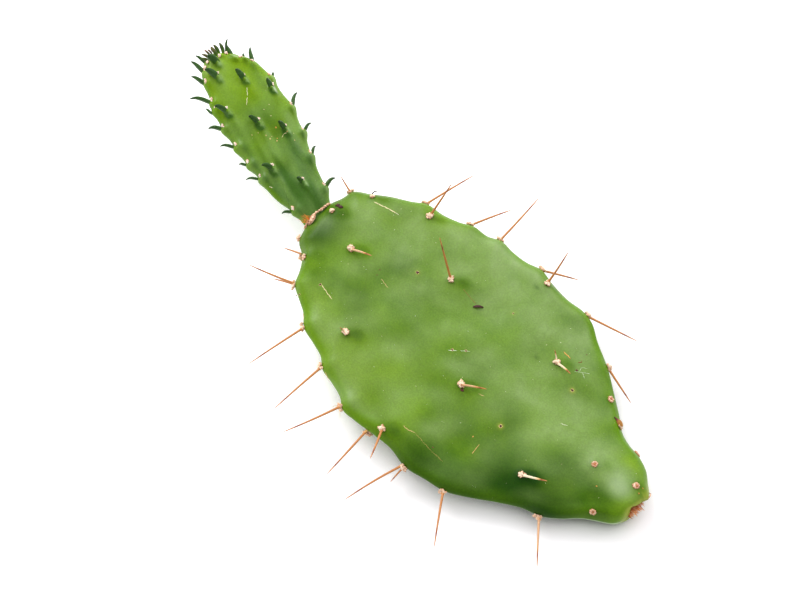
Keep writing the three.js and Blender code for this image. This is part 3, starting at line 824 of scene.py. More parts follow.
def length(name, description, default):
    """A size in millimetres."""
    return FloatProperty(
        name=name, description=description, default=default * MM, unit="LENGTH", precision=5
    )


def tint(name, description, *default):
    """A colour given in 0 to 255 as a screen shows it."""
    return FloatVectorProperty(
        name=name, description=description, default=srgb(*default), subtype="COLOR", size=3,
        min=0, max=1,
    )


class PadSettings(bpy.types.PropertyGroup):
    belly: length("Half thickness", "From the middle plane to either face", 6.6)
    neck_extra: length("Neck swelling", "Added to the half thickness at the stem end", 2.2)
    rim: length("Rim width", "Width of the rounding along the outline", 20)
    mound: length("Areole mound", "Height of the rise below each areole", 1.1)
    wave: length("Unevenness", "Height of the soft waves over both faces", 0.42)
    deep: tint("Deep green", "Darker patches of the skin", 66, 106, 8)
    mid: tint("Mid green", "Lighter patches of the skin", 96, 134, 18)
    # Grey waxy colour, partly painted sheen where the light's reflection falls.
    bloom_and_sheen: tint("Bloom", "Grey wax over the skin", 122, 152, 72)
    rim_tint: tint("Rim green", "Bright green along the rim", 100, 142, 10)
    # Yellow green, partly the skin's own and partly painted light where the light falls most.
    fresh_and_lit: tint("Fresh green", "Yellow green of the sunny side", 126, 160, 40)
    shade: tint("Shaded green", "Darkest green, round the areoles and near the stem", 22, 62, 0)
    dry: tint("Dry spot", "Yellow round the deeper pits", 196, 190, 70)
    # Pale edge: a painted reflection of the bright floor along the underside's rim, and painted highlights
    # where the sheen areas lie.
    edge: tint("Worn edge", "Pale line along the outline, seen from below", 184, 204, 168)
    lip: tint("Lip", "Pale edge of the stem end's cut", 162, 172, 66)
    cut: tint("Cut", "Dry inside of the stem end's cut", 120, 74, 50)


class YoungSettings(bpy.types.PropertyGroup):
    belly: length("Half thickness", "From the middle plane to either face", 4.6)
    rim: length("Rim width", "Width of the rounding along the outline", 10)
    ridge: length("Leaf ridge", "Height of the ridge below each leaf", 2.4)
    deep: tint("Deep green", "Green at the foot", 60, 98, 26)
    mid: tint("Fresh green", "Yellow green towards the tip", 122, 158, 6)
    # Pale green of painted sheen on the ridges' flanks and in long streaks.
    bloom_and_sheen: tint("Sheen green", "Pale cast on the flanks", 128, 164, 84)
    rim_tint: tint("Rim green", "Bright green along the rim", 104, 146, 10)


class SpineSettings(bpy.types.PropertyGroup):
    foot: length("Foot radius", "Radius where a spine leaves its cushion", 0.72)
    waist: length("Middle radius", "Radius halfway up", 0.5)
    horn: tint("Horn", "Colour of the shaft", 194, 127, 62)
    band: tint("Band", "Dark band below the tip", 138, 62, 30)
    pale: tint("Tip", "Colour of the tip", 236, 190, 120)
    cream: tint("Cream", "Shaft of the paler spines", 252, 236, 204)


class LeafSettings(bpy.types.PropertyGroup):
    wide: length("Half width", "Half the width of a leaf's blade", 1.35)
    flat: FloatProperty(
        name="Flatness", description="Thickness as a share of the width", default=0.7
    )
    foot_green: tint("Foot green", "Colour of the leaf's swollen foot", 66, 108, 16)
    green: tint("Leaf green", "Colour of a leaf", 34, 72, 8)
    sheen: tint("Leaf sheen", "Grey cast on a leaf", 62, 100, 38)
    tip: tint("Leaf tip", "Colour of a leaf's tip", 26, 38, 20)


class AreoleSettings(bpy.types.PropertyGroup):
    width: length("Cushion radius", "Radius of a felt cushion", 1.8)
    bristle: length("Bristle length", "Length of a fine bristle", 0.9)
    density: IntProperty(
        name="Bristles", description="Fine bristles on each square centimetre of felt", default=110
    )
    # Felt colours laid by height: brown as painted shade in the folds, pale as painted light on the crests
    # and tips.
    low: tint("Felt shadow", "Felt down in its folds", 176, 98, 48)
    high: tint("Felt", "Felt on its crests", 238, 188, 146)
    pale: tint("Felt tips", "Palest felt", 254, 238, 216)
    wool: tint("Wool", "Wool over the leaves of the young pad", 255, 212, 186)


class StageSettings(bpy.types.PropertyGroup):
    key: FloatProperty(
        name="Key light", description="Power of the large soft light", default=15.0, unit="POWER"
    )
    sheen: FloatProperty(
        name="Side light", description="Power of the light that the right half mirrors", default=4.5,
        unit="POWER",
    )
    bright: FloatProperty(name="Bright side", description="Light from behind", default=1.5)
    dim: FloatProperty(name="Dim side", description="Light from the front", default=0.62)
    glow: FloatProperty(
        name="Floor glow", description="Light given off by the near floor", default=0.13
    )
    far_glow: FloatProperty(name="Far glow", description="The same at the young pad", default=0.42)


# ---- The grown pad ----

NECK_AT, NECK_SPAN = 8, 46  # where along the pad the neck swells, and how far
# Width of the rim's rounding, as shares of the rim width at places along the pad.
RIM_SHARES = (0.5, 0.62, 0.86, 1.2, 1.7, 1.5, 1.15, 1)
RIM_PLACES = (-6, 4, 16, 30, 52, 80, 120, 150)
# Soft waves over the faces: share of the wave height, wavelength and seed.
PAD_WAVES = ((1, 46, 3), (0.55, 24, 8), (0.16, 11, 15))
# Mounds below an areole: place from the areole, height share, half width and half length.
FACE_MOUNDS = (((1, -7), 1, 6.5, 10.5), ((0, -0.6), 0.55, 3, 3.4))
RIM_MOUND_IN, RIM_MOUND = 3, (0.8, 5, 6)  # how far in from the rim, and the same sizes
MOUND_FAN = 260  # the mounds spread like a fan from a point this far off


def grown_pad():
    """The grown pad's shape, with a mound below each areole."""
    s = bpy.context.scene.cactus_pad
    rim = (np.array(RIM_SHARES) * s.rim / MM, RIM_PLACES)
    neck = (s.neck_extra / MM, NECK_AT, NECK_SPAN)
    pad = Pad(PAD_OUTLINE, PAD_CENTRE, s.belly / MM, rim, neck)
    pad.waves = [(s.wave / MM * share, *wave) for share, *wave in PAD_WAVES]
    for _, side, x, y, *_ in AREOLES:
        lean = math.atan2(x, MOUND_FAN)
        at = np.array([x, y])
        if side == RIM:
            mounds = [(unit(pad.centre - at) * RIM_MOUND_IN, *RIM_MOUND)]
        else:
            mounds = FACE_MOUNDS
        for offset, tall, wide, long in mounds:
            pad.mounds.append((side, *(at + offset), s.mound / MM * tall, wide, long, lean))
    return pad


def check_place():
    """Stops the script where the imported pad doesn't lie as its outline above places it."""
    line = closed_line(PAD_OUTLINE, OUTLINE_POINTS)
    laid = laid_down(np.column_stack([line, np.zeros(len(line))]))
    _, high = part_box("pad")
    off = float(np.abs(laid.max(0)[:2] - np.array(high)[:2]).max()) / MM
    if off > PLACE_OFF:
        raise RuntimeError(f"the packed pad lies {off:.1f} mm from its outline")


# The stem end's cut: the middle of its face, and its ways out of the pad and across it.
STEM_FACE = np.array([-1.3, 1.0, 0.0])
STEM_TURN = math.radians(9.5)
STEM_OUT = np.array([math.sin(STEM_TURN), -math.cos(STEM_TURN), 0.0])
STEM_SIDE = np.array([math.cos(STEM_TURN), math.sin(STEM_TURN), 0.0])
STEM_ROUND = 6.5  # how far back from the cut its rounding starts
CLOSE_RIGHT, CLOSE_LEFT = 0.16, 0.48  # shares by which the skin closes in round the cut
CLOSE_UPPER, CLOSE_LOWER = 0.3, 0.6


def lip_reach(turn):
    """How far the lip of the stem end's cut stands out, all round it."""
    return 1.5 * np.sin(2 * turn) + 1.2 * np.cos(turn - 0.96)


def stem_frame(points):
    """Each point's way past the stem end's cut, whose upper lip overhangs, and its offset."""
    ahead = (points - STEM_FACE) @ STEM_OUT
    radial = points - STEM_FACE - np.outer(ahead, STEM_OUT)
    turn = np.arctan2(radial[:, 2], radial @ STEM_SIDE)
    notch = 0.8 * np.exp(-(((turn + 1.9) / 0.8) ** 2))
    return ahead - lip_reach(turn) - 0.25 * np.sin(7 * turn + 1) + notch, radial


def flat_end(points):
    """Rounds the skin over to the stem end's cut, and folds what lies beyond into its hollow."""
    ahead, radial = stem_frame(points)
    edge = (points - STEM_FACE) @ STEM_OUT - ahead
    share = np.clip((ahead + STEM_ROUND) / STEM_ROUND, 0, 1)
    closing = 1 - np.sqrt(np.clip(1 - share**2.2, 0, 1))
    side, up = radial @ STEM_SIDE, radial[:, 2]
    side = side * (1 - np.where(side > 0, CLOSE_RIGHT, CLOSE_LEFT) * closing)
    up = up * (1 - np.where(up > 0, CLOSE_UPPER, CLOSE_LOWER) * closing)
    over = np.clip(ahead, 0, None)
    kept = np.where(ahead > 0, 0.3 * eased(0, 0.5, over) - 3 * eased(0.5, 3.6, over), ahead)
    return (
        STEM_FACE + np.outer(side, STEM_SIDE) + np.outer(up, UP)
        + np.outer(kept + edge, STEM_OUT)
    )


# Broad soft areas of the grown pad's skin: x, y, half width, half length, and how strong.
# Yellow green areas, partly painted light where the light falls most.
FRESH_LIT_AREAS = (
    (-50, 158, 20, 36, 0.9), (-22, 120, 22, 50, 0.35), (40, 176, 22, 26, 0.5), (-6, 4, 9, 4.5, 0.7),
    (11, 14, 5, 10, 0.85), (-30, 186, 8, 12, 0.4),
)
# Darker green areas, mostly painted shade where the skin turns from the light.
DEEP_SHADE_AREAS = (
    (-40, 44, 24, 30, 0.86), (-62, 86, 13, 28, 0.75), (-28, 22, 10, 15, 0.6), (-10, 19, 5, 8, 0.45),
    (0, 207, 12, 9, 0.6), (14, 217, 16, 5, 0.4), (-15, 166, 9, 10, 0.4), (-12, 88, 10, 14, 0.25),
    (-15, 126, 9, 10, 0.2), (-30, 166, 7, 8, 0.32), (-3, 209, 11, 7, 0.15), (27, 211, 9, 5, 0.35),
    (15, 165, 7, 8, 0.25), (-47, 66, 8, 9, 0.15), (15, 145, 6, 7, 0.12), (-36, 30, 5, 9, 0.1),
    (20.7, 84.9, 1.4, 1.6, 0.5), (6.4, 82.5, 1.3, 1.5, 0.5), (48.8, 109.6, 1.1, 2, 0.6),
)
# Grey waxy areas, partly painted sheen where the light's reflection falls.
WAX_SHEEN_AREAS = (
    (4, 58, 15, 44, 0.6), (40, 92, 20, 36, 0.5), (40, 156, 22, 40, 0.35), (-2.4, 12.5, 4.6, 7, 0.9),
    (0, 27, 7, 9, 0.6), (11, 14, 5, 9, -0.5), (-8, 4, 10, 5, -0.5), (-20, 15, 9, 12, -0.3),
    (-34, 150, 18, 34, 0.15), (12, 178, 12, 24, 0.35), (30, 130, 10, 16, 0.3),
    (0, 146, 8, 10, 0.35), (0, 105, 8, 10, 0.25), (54, 132, 5, 30, 0.6), (-56, 146, 6, 18, 0.5),
    (17, 204, 12, 7, 0.15), (-45, 165, 8, 12, 0.3), (15, 36, 8, 16, -0.25), (-11, 203, 9, 9, -0.2),
)
# Painted highlights, laid in with the pale edge's colour: x, y, half width, half length, and how strong.
SHEEN_AREAS = ((-2.4, 12.4, 4.2, 6, 0.42), (54, 133, 3, 16, 0.15), (-57, 146, 3, 12, 0.2))


def skin_values(pad, points):
    """How deep, yellow green, waxy grey, rim-like, pale at the edge, cut or dry the grown pad's skin is at
    each point; the deep green is mostly painted shade, the yellow green and waxy grey partly painted light
    and sheen, and the pale edge a painted reflection with painted highlights.
    """
    x, y, z = points.T
    inset = pad.inset(x, y)
    deep = over_areas(x, y, DEEP_SHADE_AREAS) + 0.12 * ripple(x, y, 34, 31)
    wax_sheen = 0.22 + over_areas(x, y, WAX_SHEEN_AREAS) + 0.14 * ripple(x, y, 21, 37)
    # Round each face areole, a painted shade spot below it and a darker ring, with less grey sheen there.
    for _, side, ax, ay, *spines in AREOLES:
        if side != RIM:
            here = z * side > 0
            below = spot(x, y, ax + 3, ay - 5, 3.4, 4.4) * here
            ring = spot(x, y, ax, ay, 3, 3) * here
            deep = deep + (0.42 if spines else 0.28) * below + 0.3 * ring
            wax_sheen = wax_sheen - 0.5 * below - 0.3 * ring
    joint = eased(184, 204, y)
    bloom_reach = np.maximum(eased(1.2, 5.5, inset), 0.9 * joint)
    ahead = stem_frame(points)[0]
    dark = np.clip(deep, 0, 1)
    return {
        # Darkest green: mostly painted shade, with some uneven tone of the skin's own.
        "deep": dark,
        # Yellow green, partly painted light.
        "fresh_and_lit": np.clip(over_areas(x, y, FRESH_LIT_AREAS), 0, 1),
        # Grey waxy cast, partly painted sheen, held back near the outline and in the painted shade.
        "bloom_and_sheen": np.clip(wax_sheen, 0, 1) * bloom_reach * (1 - 0.6 * dark),
        # Pale edge: painted reflection of the floor along the underside's rim, plus painted highlights.
        "edge": np.exp(-inset / 1.6) * eased(0.6, -0.8, z) + over_areas(x, y, SHEEN_AREAS) * (z > 0),
        "rim": (1 - eased(1.5, 8, inset)) * (1 - 0.9 * dark) * (1 - 0.8 * joint),
        # The cut's pale lip, drawn wider on the right side, where that skin turns from the light, as
        # painted light.
        "lip": np.exp(-((np.clip(ahead, -9, 9) / np.where(x > 2, 2.8, 1.3)) ** 2)) * (y < 12),
        "cut": eased(0.5, 1.1, ahead) * (ahead > 0) * (inset < 12),
        "dry": sum(dry * spot(x, y, px, py, 1.3, 1.3) for px, py, _, dry in PITS) * (z > 0),
    }


class CACTUS_OT_grown_pad(bpy.types.Operator):
    """Grow the skin of the full-grown pad"""

    bl_idname = "cactus.grown_pad"
    bl_label = "Grown Pad"

    def execute(self, context):
        check_place()
        s = context.scene.cactus_pad
        pad = grown_pad()
        points, faces = pad.shell(*PAD_GRID)
        look = skin_look("pad_skin", s, grown_greens, 0.36, 1.0, grown_wear_and_light)
        laid = laid_resting(flat_end(points))
        make_piece("pad_skin", laid, faces, look, ["pad"], skin_values(pad, points))
        return {"FINISHED"}


# ---- The young pad ----

YOUNG_NECK = (-1.1, -2, 8)  # it thins towards its foot: how much, and where and how far along
YOUNG_WAVES = ((0.3, 26, 21), (0.12, 12, 27))
NEW_FROM, NEW_SIZE = 84, 0.62  # past here the leaves are new, and their ridges smaller
# The ridge that runs down from a leaf: how far back, height share, half width and half length.
RIDGE = ((1, 0.9, 1.35, 1.7), (3.2, 0.6, 1.4, 2.5), (6.4, 0.32, 2.1, 4))
# Pale streaks of painted sheen on the young pad: x, y, half width, half length, and how strong.
YOUNG_SHEEN_AREAS = (
    (12.5, 44, 3, 12, 1.6), (4.5, 27, 2.4, 9, 1.4), (-9.5, 16, 2.6, 10, 1), (9.5, 13, 2.2, 8, 0.9),
    (-8.5, 86, 2.6, 5, 1), (-14.5, 40, 2.4, 12, 0.8), (-1.5, 46, 2.2, 9, 0.8),
)
# Painted shade on the young pad, mostly along its right side.
YOUNG_SHADE_AREAS = (
    (9, 38, 3, 8, 1.6), (10, 80, 3.4, 12, 1.6), (4, 60, 6, 8, 0.9), (-3.5, 63, 4, 7, 0.7),
)
# Lit and shaded areas beside a leaf of the upper face, placed from the leaf.
LEAF_LIT = ((1.1, -2.2, 0.8, 2.2, 1), (0, -3, 0.9, 0.9, 0.8))
LEAF_SHADED = ((-1.2, -2.2, 1.1, 2.4, 1), (0.4, -4.2, 1.4, 1.4, 1))


def leaf_places():
    """Side, x and y of every leaf of the young pad, small ones too."""
    return [(side, x, y) for _, side, x, y, *_ in LEAVES] + [leaf[:3] for leaf in SMALL_LEAVES]


def young_pad():
    """The young pad's shape, with a ridge running down from each leaf."""
    s = bpy.context.scene.cactus_young
    rim = ((s.rim / MM,), (0,))
    pad = Pad(YOUNG_OUTLINE, YOUNG_CENTRE, s.belly / MM, rim, YOUNG_NECK)
    pad.waves = YOUNG_WAVES
    ridge = s.ridge / MM
    for side, x, y in leaf_places():
        small = NEW_SIZE if y > NEW_FROM else 1.0
        if side == RIM:
            pad.swell(x, y - 2, 0.6 * ridge * small)
            mx, my = np.array([x, y]) + unit(np.array([-x, -6])) * 2
            pad.mounds.append((RIM, mx, my - 2.5, ridge * 0.45 * small, 2.2, 3.6, 0))
        else:
            for back, tall, wide, long in RIDGE:
                pad.mounds.append((side, x, y - back * small, ridge * tall * small, wide, long, 0))
    for x, y in CROWN_BUMPS:
        pad.mounds.append((TOP, x, y, ridge * 0.7, 1.4, 1.7, 0))
    return pad


def young_values(pad, points):
    """How pale, rim-like and far from deep green the young pad's skin is at each point: pale with painted
    sheen and highlights, and deep green with painted shade.
    """
    x, y, z = points.T
    # Long bands of painted sheen towards the young pad's foot, paler and darker by turns.
    sheen_bands = ripple(x, y * 0.12, 5.5, 63) * eased(84, 20, y)
    pale = 0.35 + 0.3 * ripple(x, y, 22, 41) + 0.3 * sheen_bands + over_areas(x, y, YOUNG_SHEEN_AREAS)
    lit, shaded = np.zeros(len(x)), np.zeros(len(x))
    for side, ax, ay in leaf_places():
        if side == RIM:
            shaded += (0.5 if ax > 0 else 0.25) * spot(x, y, ax * 0.86, ay - 4, 1.5, 3.4) * (z > 0)
        if side == TOP:
            lit += over_areas(x - ax, y - ay, LEAF_LIT) * (z > 0)
            shaded += over_areas(x - ax, y - ay, LEAF_SHADED) * (z > 0)
    fresh_and_lit = y / 104 - 0.6 * np.clip(shaded, 0, 1) + 0.08 * sheen_bands
    return {
        "bloom_and_sheen": np.clip(np.clip(pale, 0, 1) * 0.35 + 0.9 * lit - 0.4 * shaded, 0, 1),
        "rim": 1 - eased(0, 3, pad.inset(x, y)),
        "along": np.clip(fresh_and_lit - 0.2 * over_areas(x, y, YOUNG_SHADE_AREAS), 0, 1),
    }


class CACTUS_OT_young_pad(bpy.types.Operator):
    """Grow the skin of the young pad on the rim"""

    bl_idname = "cactus.young_pad"
    bl_label = "Young Pad"

    def execute(self, context):
        s = context.scene.cactus_young
        pad = young_pad()
        points, faces = pad.shell(*YOUNG_GRID)
        look = skin_look("young_skin", s, young_greens, 0.25, 0.8)
        laid, values = laid_down_young(points), young_values(pad, points)
        make_piece("young_skin", laid, faces, look, ["young_pad"], values)
        return {"FINISHED"}


# ---- Spines ----

CUSHION_TOP = 1.6  # height of a spine's solid foot over the skin
SPINE_TIP = 0.07  # radius
TIP_OVER = 1.03  # the fine end of a spine in the air runs on past its solid
SPINE_SIDES, SPINE_STEPS = 12, 19
SPINE_STATIONS = (0, 0.08, 0.5, 0.8, 0.94, 1)
SPINE_BEND = 0.014  # how far a spine may bow aside, as a share of its length
# Areoles whose spines are cream for most of their length, and how much so.
PALE_SPINES = {
    "top_lower_middle": 1.0, "top_lower_right": 0.9, "top_centre": 0.3, "top_left": 0.5,
    "top_tip": 0.4, "rim_left_8": 0.25,
}


def spine_plan(pad, bare, areole):
    """Each spine of an areole: its node's name, its foot in the cushion and its tip."""
    name, side, x, y, *vectors = areole
    solid_at, solid_out = bare.seat(side, x, y)
    top = solid_at + solid_out * CUSHION_TOP
    at, out = pad.seat(side, x, y)
    tips = [top + vector for vector in vectors]
    if name in PROPS:
        tx, ty = top[:2] + PROPS[name]
        tips.append(np.array([tx, ty, floor_under(tx, ty) + SPINE_TIP]))
    plans = []
    for i, tip in enumerate(tips):
        lean = tip - at
        lean = unit(lean - out * (lean @ out))
        foot = at + out * 0.3 + lean * (0.9 if len(tips) > 1 else 0.5)
        letter = "ab"[i] if len(tips) > 1 else ""
        plans.append((f"spine_{name}{letter}", foot, tip))
    return plans


def spine_shape(s, foot, run, rng):
    """A spine's closed skin: a little bowed, thick at its foot and drawn out to a fine tip."""
    size = np.linalg.norm(run)
    first, second = side_ways(run)
    swing = rng.uniform(-SPINE_BEND, SPINE_BEND, 2) * size
    path = bowed(foot, run, first * swing[0] + second * swing[1], SPINE_STEPS)
    waist = s.waist / MM
    widths = (s.foot / MM, waist * 1.2, waist, waist * 0.72, waist * 0.46, SPINE_TIP)
    thin = min(1, 0.55 + size / 40)
    t = np.linspace(0, 1, SPINE_STEPS)
    radii = np.interp(t, SPINE_STATIONS, widths) * np.where(t < 1, thin, 1)
    return tube(path, radii, SPINE_SIDES)


class CACTUS_OT_spines(bpy.types.Operator):
    """Grow the long spines of the grown pad"""

    bl_idname = "cactus.spines"
    bl_label = "Spines"

    def execute(self, context):
        s = context.scene.cactus_spine
        look = horn_look(s)
        pad = grown_pad()
        bare = pad.bare()
        rng = np.random.default_rng(SPINE_SEED)
        for areole in AREOLES:
            over = 1 if areole[0] in PROPS else TIP_OVER
            for name, foot, tip in spine_plan(pad, bare, areole):
                points, faces, along = spine_shape(s, foot, (tip - foot) * over, rng)
                cream = np.full(len(points), PALE_SPINES.get(areole[0], 0))
                make_piece(
                    f"{name}_horn", laid_down(points), faces, look, [name],
                    {"along": along, "cream": cream},
                )
        return {"FINISHED"}


# ---- Leaves ----

LEAF_FOOT_HIGH, LEAF_BACK, LEAF_SUNK = 2.2, 1.0, 0.6
LEAF_SIDES = 18
LEAF_STEPS, SMALL_STEPS = 24, 14
# A leaf's half width along it, as shares.
LEAF_STATIONS = (0, 0.2, 0.42, 0.6, 0.76, 0.88, 0.96, 1)
LEAF_WIDTHS = (0.8, 0.98, 1.06, 1.0, 0.82, 0.58, 0.34, 0.1)


def leaf_seat(pad, side, x, y):
    """Where a leaf's base lies on the skin, and the way out of it."""
    at, out = pad.seat(side, x, y - LEAF_BACK)
    if side == RIM:
        at = at - out * LEAF_SUNK
    return at, out


def leaf_line(at, out, tip, steps):
    """A leaf's line: out of the end of its ridge, up towards the pad's tip, and over at its end."""
    root = at + np.array([0, -0.6, 0]) - out * 0.7
    over = at + np.array([0, -0.5, 0]) + out * 1.6
    reach = tip - at
    toward = np.array([0, 1.0, 0])
    toward = toward - unit(reach) * (toward @ unit(reach))
    late = tip - reach * 0.4 + toward * 0.36 * np.linalg.norm(reach)
    t = np.linspace(0, 1, steps)[:, None]
    return (
        (1 - t) ** 3 * root + 3 * t * (1 - t) ** 2 * over + 3 * t**2 * (1 - t) * late + t**3 * tip
    )


def leaf_body(line, wide, flat, out):
    """A leaf's closed skin round its line."""
    radii = wide * np.interp(np.linspace(0, 1, len(line)), LEAF_STATIONS, LEAF_WIDTHS)
    return tube(line, radii, LEAF_SIDES, flat=flat, wide_way=np.cross([0, 1.0, 0.01], out))


class CACTUS_OT_leaves(bpy.types.Operator):
    """Grow the horn-like leaves of the young pad and its crown"""

    bl_idname = "cactus.leaves"
    bl_label = "Leaves"

    def execute(self, context):
        s = context.scene.cactus_leaf
        look = leaf_look(s)
        pad = young_pad()
        bare = pad.bare()
        wide = s.wide / MM
        for name, side, x, y, vector, share in LEAVES:
            at, out = leaf_seat(bare, side, x, y)
            line = leaf_line(at, out, at + out * LEAF_FOOT_HIGH + vector, LEAF_STEPS)
            points, faces, along = leaf_body(line, wide * share, s.flat, out)
            make_piece(
                f"leaf_{name}_blade", laid_down_young(points), faces, look,
                [f"leaf_{name}"], {"along": along, "red": np.zeros(len(points))},
            )
        small = Gather()
        for side, x, y, vector in SMALL_LEAVES:
            at, out = leaf_seat(pad, side, x, y)
            line = leaf_line(at, out, at + out * 1.2 + vector, SMALL_STEPS)
            body = leaf_body(line, wide * 0.7, s.flat, out)
            small.add(body, along=body[2], red=0)
        small.piece("small_leaves", laid_down_young, look, "leaf_green")
        crown = Gather()
        for foot, vector, half, redness in CROWN:
            line = bowed(foot, vector, (0.35, 0, 0.25), SMALL_STEPS)
            body = leaf_body(line, half, s.flat, UP)
            crown.add(body, along=body[2], red=redness)
        crown.piece("crown_leaves", laid_down_young, look, "leaf_green")
        return {"FINISHED"}


# ---- Areoles ----

HIDDEN_RIMS = ("rim_tip_left_2", "rim_left_5")  # their felt sits below the outline
BUTTONS = ("top_neck", "top_edge_right", "top_stem_left", "top_stem_right", "rim_stem_right")
BUTTON_LUMPS = 9
PER_CM2 = 1e4  # so many to a square metre, for each one to a square centimetre


def cushion(gather, at, out, size, rng, least=0.0, long=1.0):
    """A felt cushion: a handful of rounded lumps pressed together on the skin, in a long patch."""
    axes = skin_ways(out)
    along, beside, _ = axes
    lumps = [(0.0, 0.0, 0.3, 0.62)]
    start = rng.uniform(0, 6)
    for k in range(6):
        angle = start + k * math.pi / 3 + rng.uniform(-0.3, 0.3)
        reach = rng.uniform(0.42, 0.84)
        lift, size_share = rng.uniform(0.1, 0.6), rng.uniform(0.27, 0.46)
        lumps.append((reach * math.cos(angle), reach * math.sin(angle), lift, size_share))
    for a, b, c, r in lumps:
        centre = at + size * (a * long * along + b * beside + c / long * out)
        shape = blob(centre, size * r * np.array([1.1, 1.0, 1.0]), axes, rng, 0.3)
        # How high a point lies, for the felt's painted shade in the folds and painted light on the crests.
        raised = ((shape[0] - at) @ out / size + 0.12) * 0.9 + (shape[0] - centre) @ out * 0.35
        gather.add(shape, raised=np.clip(raised, least, 1))


def button(gather, at, out, size, rng):
    """An old spineless cushion: a pale ring of felt round a brown middle."""
    axes = skin_ways(out)
    along, beside, _ = axes
    for k in range(BUTTON_LUMPS):
        angle = k * 2 * math.pi / BUTTON_LUMPS
        way = math.cos(angle) * along + math.sin(angle) * beside
        sizes = size * rng.uniform(0.26, 0.4) * np.full(3, 1.2)
        shape = blob(at + way * size * 0.68, sizes, axes, rng, 0.2)
        # The ring's felt is paler higher up, as painted light.
        gather.add(shape, raised=np.clip((shape[0] - at) @ out / size * 1.5, 0, 1))
    for _ in range(3):
        middle = at + out * size * 0.15 + rng.uniform(-0.3, 0.3) * size * along
        middle = middle + rng.uniform(-0.3, 0.3) * size * beside
        gather.add(blob(middle, size * np.array([0.42, 0.42, 0.3]), axes, rng, 0.3), raised=0.05)


def bristle_nodes():
    """Geometry nodes that stand fine bristles on a mesh and leave only the bristles."""
    tree = bpy.data.node_groups.new("Bristles", "GeometryNodeTree")
    for label, kind, value in (
        ("Geometry", "Geometry", None), ("Density", "Float", 1e6), ("Length", "Float", 0.001),
        ("Radius", "Float", 0.00004), ("Lean", "Float", 0.5), ("Seed", "Int", 1),
        ("Material", "Material", None),
    ):
        made = tree.interface.new_socket(
            name=label, in_out="INPUT", socket_type="NodeSocket" + kind
        )
        if value is not None:
            made.default_value = value
    tree.interface.new_socket(name="Geometry", in_out="OUTPUT", socket_type="NodeSocketGeometry")
    into, out = tree.nodes.new("NodeGroupInput").outputs, tree.nodes.new("NodeGroupOutput")
    spots = node(tree, "GeometryNodeDistributePointsOnFaces", None, {
        "Mesh": into["Geometry"], "Density": into["Density"], "Seed": into["Seed"],
    })
    cone = node(tree, "GeometryNodeMeshCone", None, {
        "Vertices": 5, "Radius Top": 0.0, "Radius Bottom": into["Radius"], "Depth": into["Length"],
    })
    lean = node(tree, "FunctionNodeRandomValue", {"data_type": "FLOAT_VECTOR"}, {
        "Seed": into["Seed"],
    })
    for socket, sign in (("Min", -1), ("Max", 1)):
        limit = node(tree, "ShaderNodeVectorMath", {"operation": "SCALE"}, {
            0: (sign, sign, sign), "Scale": into["Lean"],
        })
        feed(tree, lean, {socket: limit.outputs[0]})
    turn = node(tree, "FunctionNodeRotateRotation", {"rotation_space": "LOCAL"}, {
        "Rotation": spots.outputs["Rotation"], "Rotate By": lean.outputs[0],
    })
    scale = node(tree, "FunctionNodeRandomValue", {"data_type": "FLOAT"}, {
        2: 0.5, 3: 1.15, "Seed": into["Seed"],
    })
    stand = node(tree, "GeometryNodeInstanceOnPoints", None, {
        "Points": spots.outputs["Points"], "Instance": cone.outputs["Mesh"],
        "Rotation": turn.outputs[0], "Scale": scale.outputs[1],
    })
    real = node(tree, "GeometryNodeRealizeInstances", None, {"Geometry": stand.outputs[0]})
    dressed = node(tree, "GeometryNodeSetMaterial", None, {
        "Geometry": real.outputs[0], "Material": into["Material"],
    })
    feed(tree, out, {"Geometry": dressed.outputs[0]})
    return tree


def stand_bristles(name, bed, look, slot, **sizes):
    """Bristles on a piece, as a plain mesh of their own that stays above the surface."""
    tree = bpy.data.node_groups.get("Bristles") or bristle_nodes()
    holder = linked(name + "_bed", bpy.data.objects[bed].data)
    grow = holder.modifiers.new("bristles", "NODES")
    grow.node_group = tree
    keys = {i.name: i.identifier for i in tree.interface.items_tree if i.in_out == "INPUT"}
    for key, value in {**sizes, "Material": look}.items():
        grow[keys[key]] = value
    ready = holder.evaluated_get(bpy.context.evaluated_depsgraph_get())
    mesh = bpy.data.meshes.new_from_object(ready)
    bpy.data.objects.remove(holder)
    mesh.name = name
    mesh.shade_smooth()
    ends = np.empty(3 * len(mesh.vertices))
    mesh.vertices.foreach_get("co", ends)
    ends[2::3] = np.maximum(ends[2::3], 0)
    mesh.vertices.foreach_set("co", ends)
    settle(linked(name, mesh))


